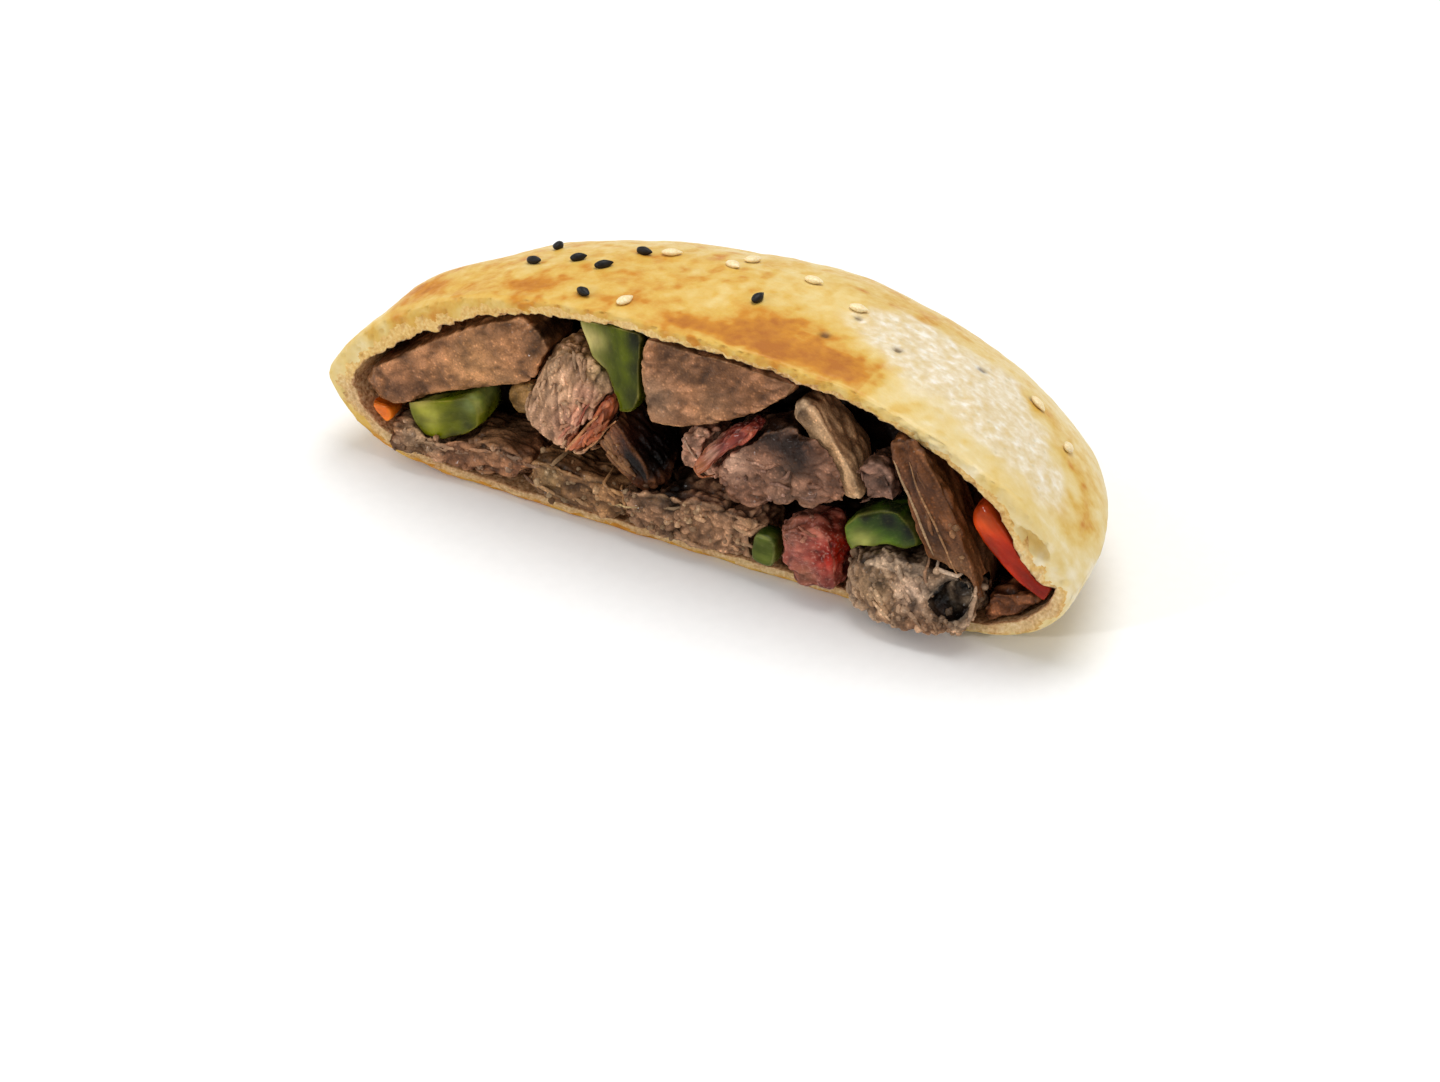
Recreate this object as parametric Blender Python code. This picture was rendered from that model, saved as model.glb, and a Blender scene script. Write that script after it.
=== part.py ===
"""Half of a lamb liver pie: a round filled bread, cut across and lying on its flat underside.

Metres, +Z up. The cut face looks along -Y. The origin is on the flat underside, CUT_TO_ORIGIN
behind the cut face. The shapes are worked out in the pie's own plan, whose centre is on the
cut face, and each finished piece is then moved back by CUT_TO_ORIGIN.
"""

import math
from typing import NamedTuple

import bmesh
import bpy
from mathutils import Euler, Matrix, Vector, noise

# Driving sizes of the pie
HALF_WIDTH = 0.0606
HALF_DEPTH = 0.0520
RIM_HEIGHT = 0.0128
TOP_RISE = 0.0246
PLAN_FULLNESS = 2.14
TOP_CROWN = 3.0
TOP_SHOULDER = 0.87
BASE_CROWN = 8.0
BASE_SHOULDER = 0.68
BASE_SHAVE = 0.0002
RIM_LEAN = 0.0003
CUT_TO_ORIGIN = 0.0220

# The crust's wall, thin on top and under the filling and thick round the rim
TOP_WALL = 0.0020
BASE_WALL = 0.0018
LEFT_WALL = 0.0048
RIGHT_WALL = 0.0030
BACK_WALL = 0.0060

# The pinched nib at the left end of the cut
NIB_LENGTH = 0.0014
NIB_SPREAD = 0.07

# Uneven places of the baked dome: across, back, radius across, radius back, rise
DOME_SWELLS = (
    (-0.0525, 0.008, 0.010, 0.010, 0.0050),
    (-0.037, 0.020, 0.012, 0.012, 0.0008),
    (-0.050, -0.001, 0.008, 0.008, -0.0020),
    (0.034, 0.020, 0.014, 0.014, -0.0008),
    (0.010, 0.030, 0.012, 0.012, 0.0007),
    (-0.012, 0.038, 0.010, 0.010, -0.0006),
    (0.0545, -0.002, 0.007, 0.007, 0.0040),
)

# Where the crumb hangs into the pocket: the thick lobe of the right-hand lip
POCKET_SAGS = ((0.0530, 0.000, 0.0040, 0.0090, -0.0056),)
SWELL_FADE = 6
SKIN_WAVE = 0.00035
SKIN_WAVE_LENGTH = 0.011

# Parts of the unit sphere: its level rim, and the last share of the plan before the rim
LEVEL = 0.000001
OUTER_SHARE = 0.999

# Mesh fineness, as segments round the cut and rings from the cut to the back and on
SKIN_SEGMENTS = 68
SKIN_RINGS = 27
POCKET_SEGMENTS = 44
POCKET_RINGS = 21

# The knife's path: a sheet that ripples as it drags the crumb
CUT_RIPPLE = 0.0005
CUT_RIPPLE_LENGTH = 0.0047
CUT_RIPPLE_SLICE = 0.37
CUT_CELL = 0.0030
CUTTER_SIDE = 0.160
CUTTER_HEIGHT = 0.054
CUTTER_MIDDLE = 0.0185
CUTTER_DEPTH = 0.090

# Egg-shaped hollows: centre, radii and turn in the cut plane in degrees
AIR_POCKET = ((0.0540, -0.0004, 0.0194), (0.0013, 0.0022, 0.0031), -50.0)
DARK_HOLE = ((0.0436, -0.0056, 0.0088), (0.0027, 0.0060, 0.0027), 0.0)
HOLLOW_SEGMENTS = 10
HOLLOW_RINGS = 6

# Room kept between neighbouring pieces, and how low the filling may hang
GAP = 0.00035
PORCH_BACK = -0.0010
PORCH_FLOOR = 0.0004
PORCH_REACH = 0.030

# Points closer than this after a cut are one, and edges sharper than this are drawn sharp
WELD = 0.000004
SHARP_ANGLE = 40.0

# The slanting direction along which a cut piece's points, edges and faces are put in order
ORDER = Vector((1.0, 0.618, 0.382))

# The packed filling behind the pieces: where it starts, its unevenness and its mesh
CORE_FRONT = 0.0090
CORE_RIPPLE = 0.0014
CORE_RIPPLE_LENGTH = 0.0060
CORE_CELL = 0.0088
CORE_SEGMENTS = 20
CORE_RINGS = 13
CORE_INSET = 0.0007

# Seeds: length, width, height and how much of the height is sunk in the crust
NIGELLA_SIZE = (0.0028, 0.0015, 0.0013)
SESAME_SIZE = (0.0030, 0.0018, 0.0010)
SEED_SUNK = 0.20
SEED_POINT = 0.45
SEED_SEGMENTS = 5
SEED_RINGS = 4
SLOPE_STEP = 0.0005

# Seeds on the side that shows: across, back and heading in degrees
NIGELLA_SPOTS = (
    (-0.0322, 0.0118, -11.0),
    (-0.0323, 0.0191, 100.0),
    (-0.0259, 0.0138, 45.0),
    (-0.0210, 0.0126, 45.0),
    (-0.0181, 0.0194, -6.0),
    (-0.0192, 0.0035, -25.0),
    (0.0039, 0.0131, 88.0),
)
SESAME_SPOTS = (
    (-0.0126, 0.0038, 71.0),
    (-0.0145, 0.0212, 32.0),
    (-0.0045, 0.0213, -24.0),
    (-0.0034, 0.0254, 70.0),
    (0.0076, 0.0233, 3.0),
    (0.0165, 0.0200, 17.0),
    (0.0424, 0.0257, -26.0),
    (0.0491, 0.0216, 92.0),
)

# Seeds on the side away from the cut: across and back, with headings that step round
BACK_NIGELLA = ((-0.036, 0.038), (-0.020, 0.046), (-0.005, 0.048), (0.010, 0.049), (-0.046, 0.030))
BACK_SESAME = ((-0.041, 0.034), (-0.027, 0.041), (-0.013, 0.046), (0.002, 0.0475), (0.018, 0.048))
BACK_HEADING_STEP = 67.0

COLOURS = {
    "crust": ((0.78, 0.52, 0.22), 0.45),
    "liver": ((0.25, 0.15, 0.10), 0.50),
    "core": ((0.10, 0.05, 0.035), 0.60),
    "green_pepper": ((0.16, 0.27, 0.03), 0.30),
    "orange_pepper": ((0.70, 0.20, 0.02), 0.35),
    "red_pepper": ((0.62, 0.07, 0.02), 0.30),
    "tomato": ((0.50, 0.10, 0.07), 0.35),
}


class Piece(NamedTuple):
    """A piece of the filling, placed by the middle of its cut front end."""

    name: str
    material: str
    across: float
    height: float
    front: float
    size: tuple  # width and thickness on the cut, then length into the pocket
    turn: float = 0.0  # degrees in the cut plane, anticlockwise from the front
    swing: float = 0.0  # degrees that the back end swings to the right
    squareness: float = 4.0  # 2 is an egg, 8 is nearly a brick
    taper: float = 0.0  # how much thinner the left side is, as a share
    bend: float = 0.0  # rise of the middle over the two sides
    lean: float = 0.0  # how far its ends lean to the right, as a share of the height
    lumps: float = 0.0008
    sliced: float = 0.6  # where the knife took the front end off, as a share of the half length
    cuts: int = 3  # fineness of its mesh


# From the front of the filling to its back: each is cut clear of those above it
PIECES = (
    Piece("liver_low_right", "liver", 0.0362, 0.0065, -0.0056, (0.0210, 0.0120, 0.0150),
          squareness=2.8, lumps=0.0015, sliced=0.85),
    Piece("tomato_chunk", "tomato", 0.0206, 0.0076, -0.0040, (0.0108, 0.0114, 0.0125),
          turn=12, squareness=3.0, lumps=0.0011, sliced=0.85, cuts=2),
    Piece("liver_long_right", "liver", 0.0393, 0.0188, -0.0024, (0.0285, 0.0068, 0.0170),
          turn=-68, swing=-6, squareness=5.0, taper=0.10, bend=0.0008),
    Piece("green_pepper_right", "green_pepper", 0.0311, 0.0142, -0.0018, (0.0128, 0.0072, 0.0110),
          turn=32, squareness=4.5, bend=0.0010, lumps=0.0004, cuts=2),
    Piece("tomato_shred_right", "tomato", 0.0062, 0.0210, -0.0026, (0.0146, 0.0026, 0.0060),
          turn=47, bend=0.0010, lumps=0.0005, sliced=0.9, cuts=2),
    Piece("liver_cream_strip", "liver", 0.0222, 0.0250, -0.0012, (0.0170, 0.0052, 0.0100),
          turn=-56, bend=0.0008, lumps=0.0006, cuts=2),
    Piece("liver_centre_right", "liver", 0.0148, 0.0195, -0.0018, (0.0230, 0.0132, 0.0150),
          turn=24, swing=6, squareness=3.4, bend=0.0014, lumps=0.0011),
    Piece("liver_pink_bit", "liver", 0.0287, 0.0213, -0.0006, (0.0084, 0.0080, 0.0100),
          turn=25, squareness=2.8, lumps=0.0012, cuts=2),
    Piece("tomato_shred_left", "tomato", -0.0160, 0.0172, -0.0022, (0.0125, 0.0024, 0.0060),
          turn=58, bend=-0.0012, lumps=0.0005, sliced=0.9, cuts=2),
    Piece("liver_centre_left", "liver", -0.0199, 0.0200, -0.0010, (0.0176, 0.0126, 0.0150),
          turn=66, squareness=3.4, lumps=0.0014),
    Piece("liver_centre_slab", "liver", 0.0045, 0.0310, -0.0004, (0.0266, 0.0118, 0.0160),
          turn=18, squareness=7.0, taper=-0.42, bend=-0.0026, lean=0.325, lumps=0.0005),
    Piece("liver_low_middle", "liver", -0.0110, 0.0138, -0.0008, (0.0134, 0.0066, 0.0140),
          turn=-50, squareness=3.4, lumps=0.0010),
    Piece("liver_left_slab", "liver", -0.0396, 0.0198, 0.0000, (0.0345, 0.0098, 0.0160),
          turn=29, squareness=5.0, taper=0.28, bend=0.0010),
    Piece("green_pepper_left", "green_pepper", -0.0410, 0.0112, -0.0006, (0.0136, 0.0068, 0.0110),
          turn=24, squareness=4.5, taper=-0.15, bend=-0.0012, lumps=0.0003, cuts=2),
    Piece("green_pepper_middle", "green_pepper", -0.0126, 0.0280, 0.0004, (0.0160, 0.0086, 0.0150),
          turn=-82, squareness=5.0, taper=-0.42, bend=0.0010, lumps=0.0003),
    Piece("green_pepper_bit", "green_pepper", 0.0131, 0.0062, -0.0028, (0.0044, 0.0056, 0.0060),
          turn=-10, squareness=3.4, lumps=0.0003, cuts=2),
    Piece("red_pepper_right", "red_pepper", 0.0512, 0.0163, -0.0002, (0.0178, 0.0044, 0.0110),
          turn=-41, squareness=5.0, bend=-0.0014, lumps=0.0002),
    Piece("liver_low_left", "liver", -0.0388, 0.0056, -0.0008, (0.0262, 0.0066, 0.0150),
          turn=6, squareness=3.6, bend=-0.0010, lumps=0.0011),
    Piece("liver_band_left", "liver", -0.0185, 0.0057, -0.0014, (0.0180, 0.0076, 0.0140),
          turn=-2, squareness=3.4, lumps=0.0012),
    Piece("liver_band_middle", "liver", 0.0003, 0.0064, -0.0020, (0.0256, 0.0090, 0.0140),
          turn=3, squareness=3.2, lumps=0.0012),
    Piece("liver_pale_middle", "liver", 0.0007, 0.0166, 0.0008, (0.0066, 0.0090, 0.0100),
          squareness=3.0, lumps=0.0010, cuts=2),
    Piece("orange_pepper_left", "orange_pepper", -0.0524, 0.0073, -0.0002, (0.0042, 0.0054, 0.0060),
          squareness=3.2, lumps=0.0003, cuts=2),
    Piece("liver_far_right", "liver", 0.0500, 0.0070, 0.0004, (0.0116, 0.0048, 0.0110),
          turn=25, squareness=3.6, lumps=0.0007, cuts=2),
    Piece("liver_shadow_left", "liver", -0.0286, 0.0156, 0.0034, (0.0090, 0.0064, 0.0100),
          turn=20, squareness=3.0, lumps=0.0009, cuts=2),
)
HOLED_PIECE = "liver_low_right"

# A piece's lumps: how far apart they are, how pieces differ, and a slice of noise for each axis
LUMP_LENGTH = 0.0045
LUMP_SHIFT = 97.0
LUMP_SLICES = (Vector((0.0, 0.0, 0.0)), Vector((31.4, 0.0, 7.3)), Vector((0.0, 57.2, 13.9)))


def clear_scene():
    """Removes whatever the file holds before the pie is built."""
    for obj in list(bpy.data.objects):
        bpy.data.objects.remove(obj, do_unlink=True)


def new_collection(name):
    """A collection linked to the scene."""
    collection = bpy.data.collections.new(name)
    bpy.context.scene.collection.children.link(collection)
    return collection


def material(name):
    """The Principled material of a named food, made once."""
    found = bpy.data.materials.get(name)
    if found:
        return found
    colour, roughness = COLOURS[name]
    made = bpy.data.materials.new(name)
    made.use_nodes = True
    shader = made.node_tree.nodes["Principled BSDF"]
    shader.inputs["Base Color"].default_value = (*colour, 1.0)
    shader.inputs["Roughness"].default_value = roughness
    shader.inputs["Metallic"].default_value = 0.0
    return made


def object_from(bm, name, collection, material_name=None):
    """A new object that holds the bmesh, which is freed."""
    bmesh.ops.recalc_face_normals(bm, faces=bm.faces)
    mesh = bpy.data.meshes.new(name)
    bm.to_mesh(mesh)
    bm.free()
    obj = bpy.data.objects.new(name, mesh)
    collection.objects.link(obj)
    if material_name:
        mesh.materials.append(material(material_name))
    return obj


def as_helper(obj):
    """Marks an object as a cutter or a guide, which isn't part of the pie."""
    obj.hide_render = True
    obj.display_type = "WIRE"
    return obj


def put_in_order(bm):
    """Orders a mesh by place, so that the next cut meets it the same way in each run."""
    bm.verts.sort(key=lambda vertex: vertex.co.dot(ORDER))
    bm.edges.sort(key=lambda edge: (edge.verts[0].co + edge.verts[1].co).dot(ORDER))
    bm.faces.sort(key=lambda face: face.calc_center_median().dot(ORDER))


def applied(obj):
    """Bakes the object's modifiers into its mesh, as clean triangles that the next cut can take."""
    graph = bpy.context.evaluated_depsgraph_get()
    mesh = bpy.data.meshes.new_from_object(obj.evaluated_get(graph))
    obj.modifiers.clear()
    old = obj.data
    obj.data = mesh
    bpy.data.meshes.remove(old)
    bm = bmesh.new()
    bm.from_mesh(mesh)
    put_in_order(bm)
    bmesh.ops.triangulate(bm, faces=bm.faces)
    bmesh.ops.dissolve_degenerate(bm, edges=bm.edges, dist=WELD)
    bmesh.ops.triangulate(bm, faces=bm.faces)
    bm.to_mesh(mesh)
    bm.free()
    return obj


def combine(obj, other, operation):
    """Cuts obj by other, joins them or keeps their common part, by an exact Boolean."""
    modifier = obj.modifiers.new("combine", "BOOLEAN")
    modifier.object = other
    modifier.operation = operation
    modifier.solver = "EXACT"
    return applied(obj)


def keep_largest_part(obj):
    """Drops the loose scraps that a cut leaves beside the piece itself."""
    bm = bmesh.new()
    bm.from_mesh(obj.data)
    left = set(bm.verts)
    parts = []
    while left:
        part = set()
        reach = [left.pop()]
        while reach:
            vertex = reach.pop()
            part.add(vertex)
            near = {edge.other_vert(vertex) for edge in vertex.link_edges} & left
            left -= near
            reach.extend(near)
        parts.append(part)
    parts.sort(key=len, reverse=True)
    for part in parts[1:]:
        bmesh.ops.delete(bm, geom=list(part), context="VERTS")
    bm.to_mesh(obj.data)
    bm.free()
    return obj


def plan_radius(angle):
    """Distance from the middle of the pie to its rim, with the pinched nib at the left end."""
    across = abs(math.cos(angle) / HALF_WIDTH) ** PLAN_FULLNESS
    back = abs(math.sin(angle) / HALF_DEPTH) ** PLAN_FULLNESS
    nib = NIB_LENGTH * math.exp(-(((math.pi - abs(angle)) / NIB_SPREAD) ** 2))
    return (across + back) ** (-1 / PLAN_FULLNESS) + nib


def rim_wall(angle):
    """Thickness of the closed rim, from the right end past the back to the left end."""
    side = LEFT_WALL if math.cos(angle) < 0 else RIGHT_WALL
    share = math.cos(angle) ** 2
    return side * share + BACK_WALL * (1 - share)


def bumps(x, y, places):
    """Rise of soft bumps, each given by its place, its radii across and back, and its rise."""
    total = 0.0
    for across, back, wide, deep, rise in places:
        total += rise * math.exp(-(((x - across) / wide) ** 2) - ((y - back) / deep) ** 2)
    return total


def swell(x, y):
    """Rise of the dome's uneven places over its smooth form."""
    wave = SKIN_WAVE * noise.noise(Vector((x, y, 0.0)) / SKIN_WAVE_LENGTH)
    return wave + bumps(x, y, DOME_SWELLS)


def pie_point(direction, top_wall=0.0, base_wall=0.0, with_rim_wall=False, inset=0.0):
    """Where a point of the unit sphere goes on the skin, or on the pocket that the walls leave."""
    angle = math.atan2(direction.y, direction.x)
    share = min(1.0, math.hypot(direction.x, direction.y))
    reach = plan_radius(angle) - inset
    if with_rim_wall:
        reach -= rim_wall(angle)
    x = reach * share * math.cos(angle)
    y = reach * share * math.sin(angle)
    rim = RIM_HEIGHT + RIM_LEAN * x / HALF_WIDTH
    if direction.z >= 0:
        rise = TOP_RISE - top_wall - inset
        fade = 1 - share**SWELL_FADE
        z = rim + rise * (1 - share**TOP_CROWN) ** TOP_SHOULDER + swell(x, y) * fade
        if with_rim_wall:
            z = max(rim, z + bumps(x, y, POCKET_SAGS))
    else:
        drop = rim - base_wall - inset
        z = rim - drop * (1 - share**BASE_CROWN) ** BASE_SHOULDER
        if not with_rim_wall:
            z = max(0.0, z - BASE_SHAVE * (1 - share))
    return Vector((x, y, z))


def pie_body(name, collection, segments, rings, **walls):
    """The whole pie's skin or pocket: a sphere with its poles at the front and the back."""
    bm = bmesh.new()
    bmesh.ops.create_uvsphere(bm, u_segments=segments, v_segments=rings, radius=1.0)
    bmesh.ops.rotate(bm, verts=bm.verts, matrix=Matrix.Rotation(math.pi / 2, 3, "X"))
    for vertex in bm.verts:
        direction = vertex.co.normalized()
        if abs(direction.z) < LEVEL:
            direction.z = 0.0
        vertex.co = pie_point(direction, **walls)
    return object_from(bm, name, collection)


def skin_height(x, y):
    """Height of the top skin over a point of the plan."""
    angle = math.atan2(y, x)
    share = min(OUTER_SHARE, math.hypot(x, y) / plan_radius(angle))
    up = math.sqrt(1 - share * share)
    return pie_point(Vector((share * math.cos(angle), share * math.sin(angle), up))).z


def ripple(x, z):
    """How far the cut strays from its plane."""
    return CUT_RIPPLE * noise.noise(Vector((x, CUT_RIPPLE_SLICE, z)) / CUT_RIPPLE_LENGTH)


def core_ripple(x, z):
    """Where the uneven front of the packed filling lies."""
    return CORE_FRONT + CORE_RIPPLE * noise.noise(Vector((x, 0.0, z)) / CORE_RIPPLE_LENGTH)


def front_block(name, collection, cell, face):
    """A block over the front half, whose back face is an uneven sheet at face(x, z)."""
    bm = bmesh.new()
    columns = round(CUTTER_SIDE / cell)
    rows = round(CUTTER_HEIGHT / cell)
    bmesh.ops.create_grid(bm, x_segments=columns, y_segments=rows, size=0.5)
    for vertex in bm.verts:
        x = vertex.co.x * CUTTER_SIDE
        z = vertex.co.y * CUTTER_HEIGHT + CUTTER_MIDDLE
        vertex.co = Vector((x, face(x, z), z))
    grown = bmesh.ops.extrude_face_region(bm, geom=list(bm.faces), use_keep_orig=True)
    front = [item for item in grown["geom"] if isinstance(item, bmesh.types.BMVert)]
    for vertex in front:
        vertex.co.y = -CUTTER_DEPTH
    return as_helper(object_from(bm, name, collection))


def hollow(name, shape, collection):
    """An egg-shaped cutter that leaves an open hollow."""
    centre, radii, degrees = shape
    bm = bmesh.new()
    bmesh.ops.create_uvsphere(
        bm, u_segments=HOLLOW_SEGMENTS, v_segments=HOLLOW_RINGS, radius=1.0
    )
    turn = Matrix.Rotation(math.radians(degrees), 4, "Y")
    bm.transform(Matrix.Translation(centre) @ turn @ Matrix.Diagonal((*radii, 1.0)))
    return as_helper(object_from(bm, name, collection))


def skin_frame(x, y, heading):
    """The matrix that lays a seed on the skin, its length turned to a heading."""
    run = 2 * SLOPE_STEP
    slope_x = (skin_height(x + SLOPE_STEP, y) - skin_height(x - SLOPE_STEP, y)) / run
    slope_y = (skin_height(x, y + SLOPE_STEP) - skin_height(x, y - SLOPE_STEP)) / run
    up = Vector((-slope_x, -slope_y, 1.0)).normalized()
    tilt = Vector((0.0, 0.0, 1.0)).rotation_difference(up).to_matrix().to_4x4()
    turn = Matrix.Rotation(math.radians(heading), 4, "Z")
    return Matrix.Translation((x, y, skin_height(x, y))) @ tilt @ turn


def seed(name, spot, size, collection):
    """A drop-shaped seed, sunk a little into the skin."""
    x, y, heading = spot
    length, width, height = size
    bm = bmesh.new()
    bmesh.ops.create_uvsphere(bm, u_segments=SEED_SEGMENTS, v_segments=SEED_RINGS, radius=0.5)
    bmesh.ops.rotate(bm, verts=bm.verts, matrix=Matrix.Rotation(math.pi / 2, 3, "Y"))
    for vertex in bm.verts:
        point = 1.0 - SEED_POINT * max(0.0, vertex.co.x * 2)
        vertex.co.x *= length
        vertex.co.y *= width * point
        vertex.co.z *= height * point
    lift = Matrix.Translation((0.0, 0.0, height * (0.5 - SEED_SUNK)))
    bm.transform(skin_frame(x, y, heading) @ lift)
    return object_from(bm, name, collection)


def seed_spots():
    """Every seed as its size and spot: those that show, then those of the back at set headings."""
    spots = [(NIGELLA_SIZE, spot) for spot in NIGELLA_SPOTS]
    spots += [(SESAME_SIZE, spot) for spot in SESAME_SPOTS]
    for size, places in ((NIGELLA_SIZE, BACK_NIGELLA), (SESAME_SIZE, BACK_SESAME)):
        for number, (x, y) in enumerate(places):
            spots.append((size, (x, y, BACK_HEADING_STEP * number)))
    return spots


def build_crust(parts, cutters):
    """The baked crust: the skin less the pocket, cut across, with the seeds fused on."""
    crust = pie_body("crust", parts, SKIN_SEGMENTS, SKIN_RINGS)
    pocket = pocket_body("pocket_cutter", cutters, POCKET_SEGMENTS, POCKET_RINGS)
    combine(crust, as_helper(pocket), "DIFFERENCE")
    knife = front_block("knife_block", cutters, CUT_CELL, ripple)
    combine(crust, knife, "DIFFERENCE")
    # The air pocket lies open in the lobe of the right-hand lip
    combine(crust, hollow("air_pocket", AIR_POCKET, cutters), "DIFFERENCE")
    keep_largest_part(crust)
    seeds = new_collection("seeds")
    for number, (size, spot) in enumerate(seed_spots()):
        seed(f"seed_{number}", spot, size, seeds)
    modifier = crust.modifiers.new("fuse_seeds", "BOOLEAN")
    modifier.operand_type = "COLLECTION"
    modifier.collection = seeds
    modifier.operation = "UNION"
    modifier.solver = "EXACT"
    applied(crust)
    for obj in list(seeds.objects):
        bpy.data.objects.remove(obj, do_unlink=True)
    bpy.data.collections.remove(seeds)
    keep_largest_part(crust)
    crust.data.materials.clear()
    crust.data.materials.append(material("crust"))
    return crust


def pocket_body(name, collection, segments, rings, inset=0.0):
    """The hollow that the crust's walls leave, made smaller by an inset."""
    return pie_body(
        name,
        collection,
        segments,
        rings,
        top_wall=TOP_WALL,
        base_wall=BASE_WALL,
        with_rim_wall=True,
        inset=inset,
    )


def filling_room(cutters):
    """The space that the filling may take: the pocket less a gap, and the porch before the cut."""
    room = as_helper(
        pocket_body("filling_room", cutters, POCKET_SEGMENTS, POCKET_RINGS, inset=GAP)
    )
    return combine(room, porch(cutters), "UNION")


def porch(cutters):
    """The open space in front of the cut, as a box."""
    bm = bmesh.new()
    bmesh.ops.create_cube(bm, size=1.0)
    high = 2 * RIM_HEIGHT + TOP_RISE - PORCH_FLOOR
    deep = PORCH_REACH
    size = Matrix.Diagonal((2 * HALF_WIDTH + deep, deep, high, 1.0))
    middle = (0.0, PORCH_BACK - deep / 2, PORCH_FLOOR + high / 2)
    bm.transform(Matrix.Translation(middle) @ size)
    return as_helper(object_from(bm, "porch", cutters))


def lump(point):
    """How noise pushes a point of a piece, along each axis."""
    return Vector([noise.noise(point + slice_start) for slice_start in LUMP_SLICES])


def piece_mesh(piece, grow=0.0):
    """The piece's own shape before its neighbours cut it, as a bmesh."""
    bm = bmesh.new()
    bmesh.ops.create_cube(bm, size=2.0)
    bmesh.ops.subdivide_edges(bm, edges=bm.edges, cuts=piece.cuts, use_grid_fill=True)
    width, thickness, length = piece.size
    offset = Vector((piece.across, piece.height, piece.front)) * LUMP_SHIFT
    for vertex in bm.verts:
        point = vertex.co
        norm = sum(abs(value) ** piece.squareness for value in point)
        point = point * norm ** (-1 / piece.squareness)
        thick = 1.0 + piece.taper * point.x
        y = max(point.y, -piece.sliced) * length / 2
        z = point.z * thick * thickness / 2 + piece.bend * (0.5 - point.x**2)
        x = point.x * width / 2 + piece.lean * z
        place = Vector((x, y, z))
        place += piece.lumps * lump(place / LUMP_LENGTH + offset)
        vertex.co = place
    bmesh.ops.triangulate(bm, faces=bm.faces)
    if grow:
        bm.normal_update()
        for vertex in bm.verts:
            vertex.co += vertex.normal * grow
    turn = Euler((0.0, -math.radians(piece.turn), -math.radians(piece.swing)), "XYZ")
    back = piece.front + piece.sliced * length / 2
    place = Matrix.Translation((piece.across, back, piece.height))
    bm.transform(place @ turn.to_matrix().to_4x4())
    return bm


def corners(obj):
    """Lowest and highest corner of an object's mesh."""
    points = [vertex.co for vertex in obj.data.vertices]
    low = [min(point[axis] for point in points) for axis in range(3)]
    high = [max(point[axis] for point in points) for axis in range(3)]
    return low, high


def boxes_meet(first, second):
    """Whether two objects' boxes overlap, so that one may have to be cut by the other."""
    low_a, high_a = corners(first)
    low_b, high_b = corners(second)
    return all(low_a[axis] < high_b[axis] and low_b[axis] < high_a[axis] for axis in range(3))


def build_filling(parts, cutters):
    """Every piece of the filling, each kept in the room and cut clear of those before it."""
    room = filling_room(cutters)
    hole = hollow("dark_hole", DARK_HOLE, cutters)
    swollen = []
    for piece in PIECES:
        obj = object_from(piece_mesh(piece), piece.name, parts, piece.material)
        combine(obj, room, "INTERSECT")
        for other in swollen:
            if boxes_meet(obj, other):
                combine(obj, other, "DIFFERENCE")
        if piece.name == HOLED_PIECE:
            combine(obj, hole, "DIFFERENCE")
        keep_largest_part(obj)
        guard = object_from(piece_mesh(piece, grow=GAP), f"{piece.name}_guard", cutters)
        swollen.append(as_helper(guard))
    return swollen


def build_core(parts, cutters, swollen):
    """The packed filling behind the pieces, which runs through to the back of the pocket."""
    core = pocket_body("filling_core", parts, CORE_SEGMENTS, CORE_RINGS, inset=CORE_INSET)
    front = front_block("core_front", cutters, CORE_CELL, core_ripple)
    combine(core, front, "DIFFERENCE")
    for other in swollen:
        if boxes_meet(core, other):
            combine(core, other, "DIFFERENCE")
    keep_largest_part(core)
    core.data.materials.clear()
    core.data.materials.append(material("core"))
    return core


def finish(parts, cutters):
    """Removes the cutters, shades the pieces and moves the pie to its origin."""
    for obj in list(cutters.objects):
        bpy.data.objects.remove(obj, do_unlink=True)
    bpy.data.collections.remove(cutters)
    for obj in parts.objects:
        obj.data.transform(Matrix.Translation((0.0, -CUT_TO_ORIGIN, 0.0)))
        obj.data.shade_smooth()
        obj.data.set_sharp_from_angle(angle=math.radians(SHARP_ANGLE))


def main():
    """Builds the half pie."""
    clear_scene()
    parts = new_collection("lamb_liver_pie")
    cutters = new_collection("cutters")
    build_crust(parts, cutters)
    swollen = build_filling(parts, cutters)
    build_core(parts, cutters, swollen)
    finish(parts, cutters)


main()
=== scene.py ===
"""The looks of half a lamb liver pie: a round filled bread, cut across and lying on its underside.

Metres, +Z up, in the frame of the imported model. The bread's own forms are worked out in the
pie's plan, whose centre is on the cut face, and moved back by PieForm.cut_to_origin.
"""

import logging
import math
from collections.abc import Callable
from dataclasses import dataclass
from enum import Enum, IntEnum

import bmesh
import bpy
import numpy as np
from mathutils import Matrix, Vector, noise
from mathutils.bvhtree import BVHTree


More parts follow.
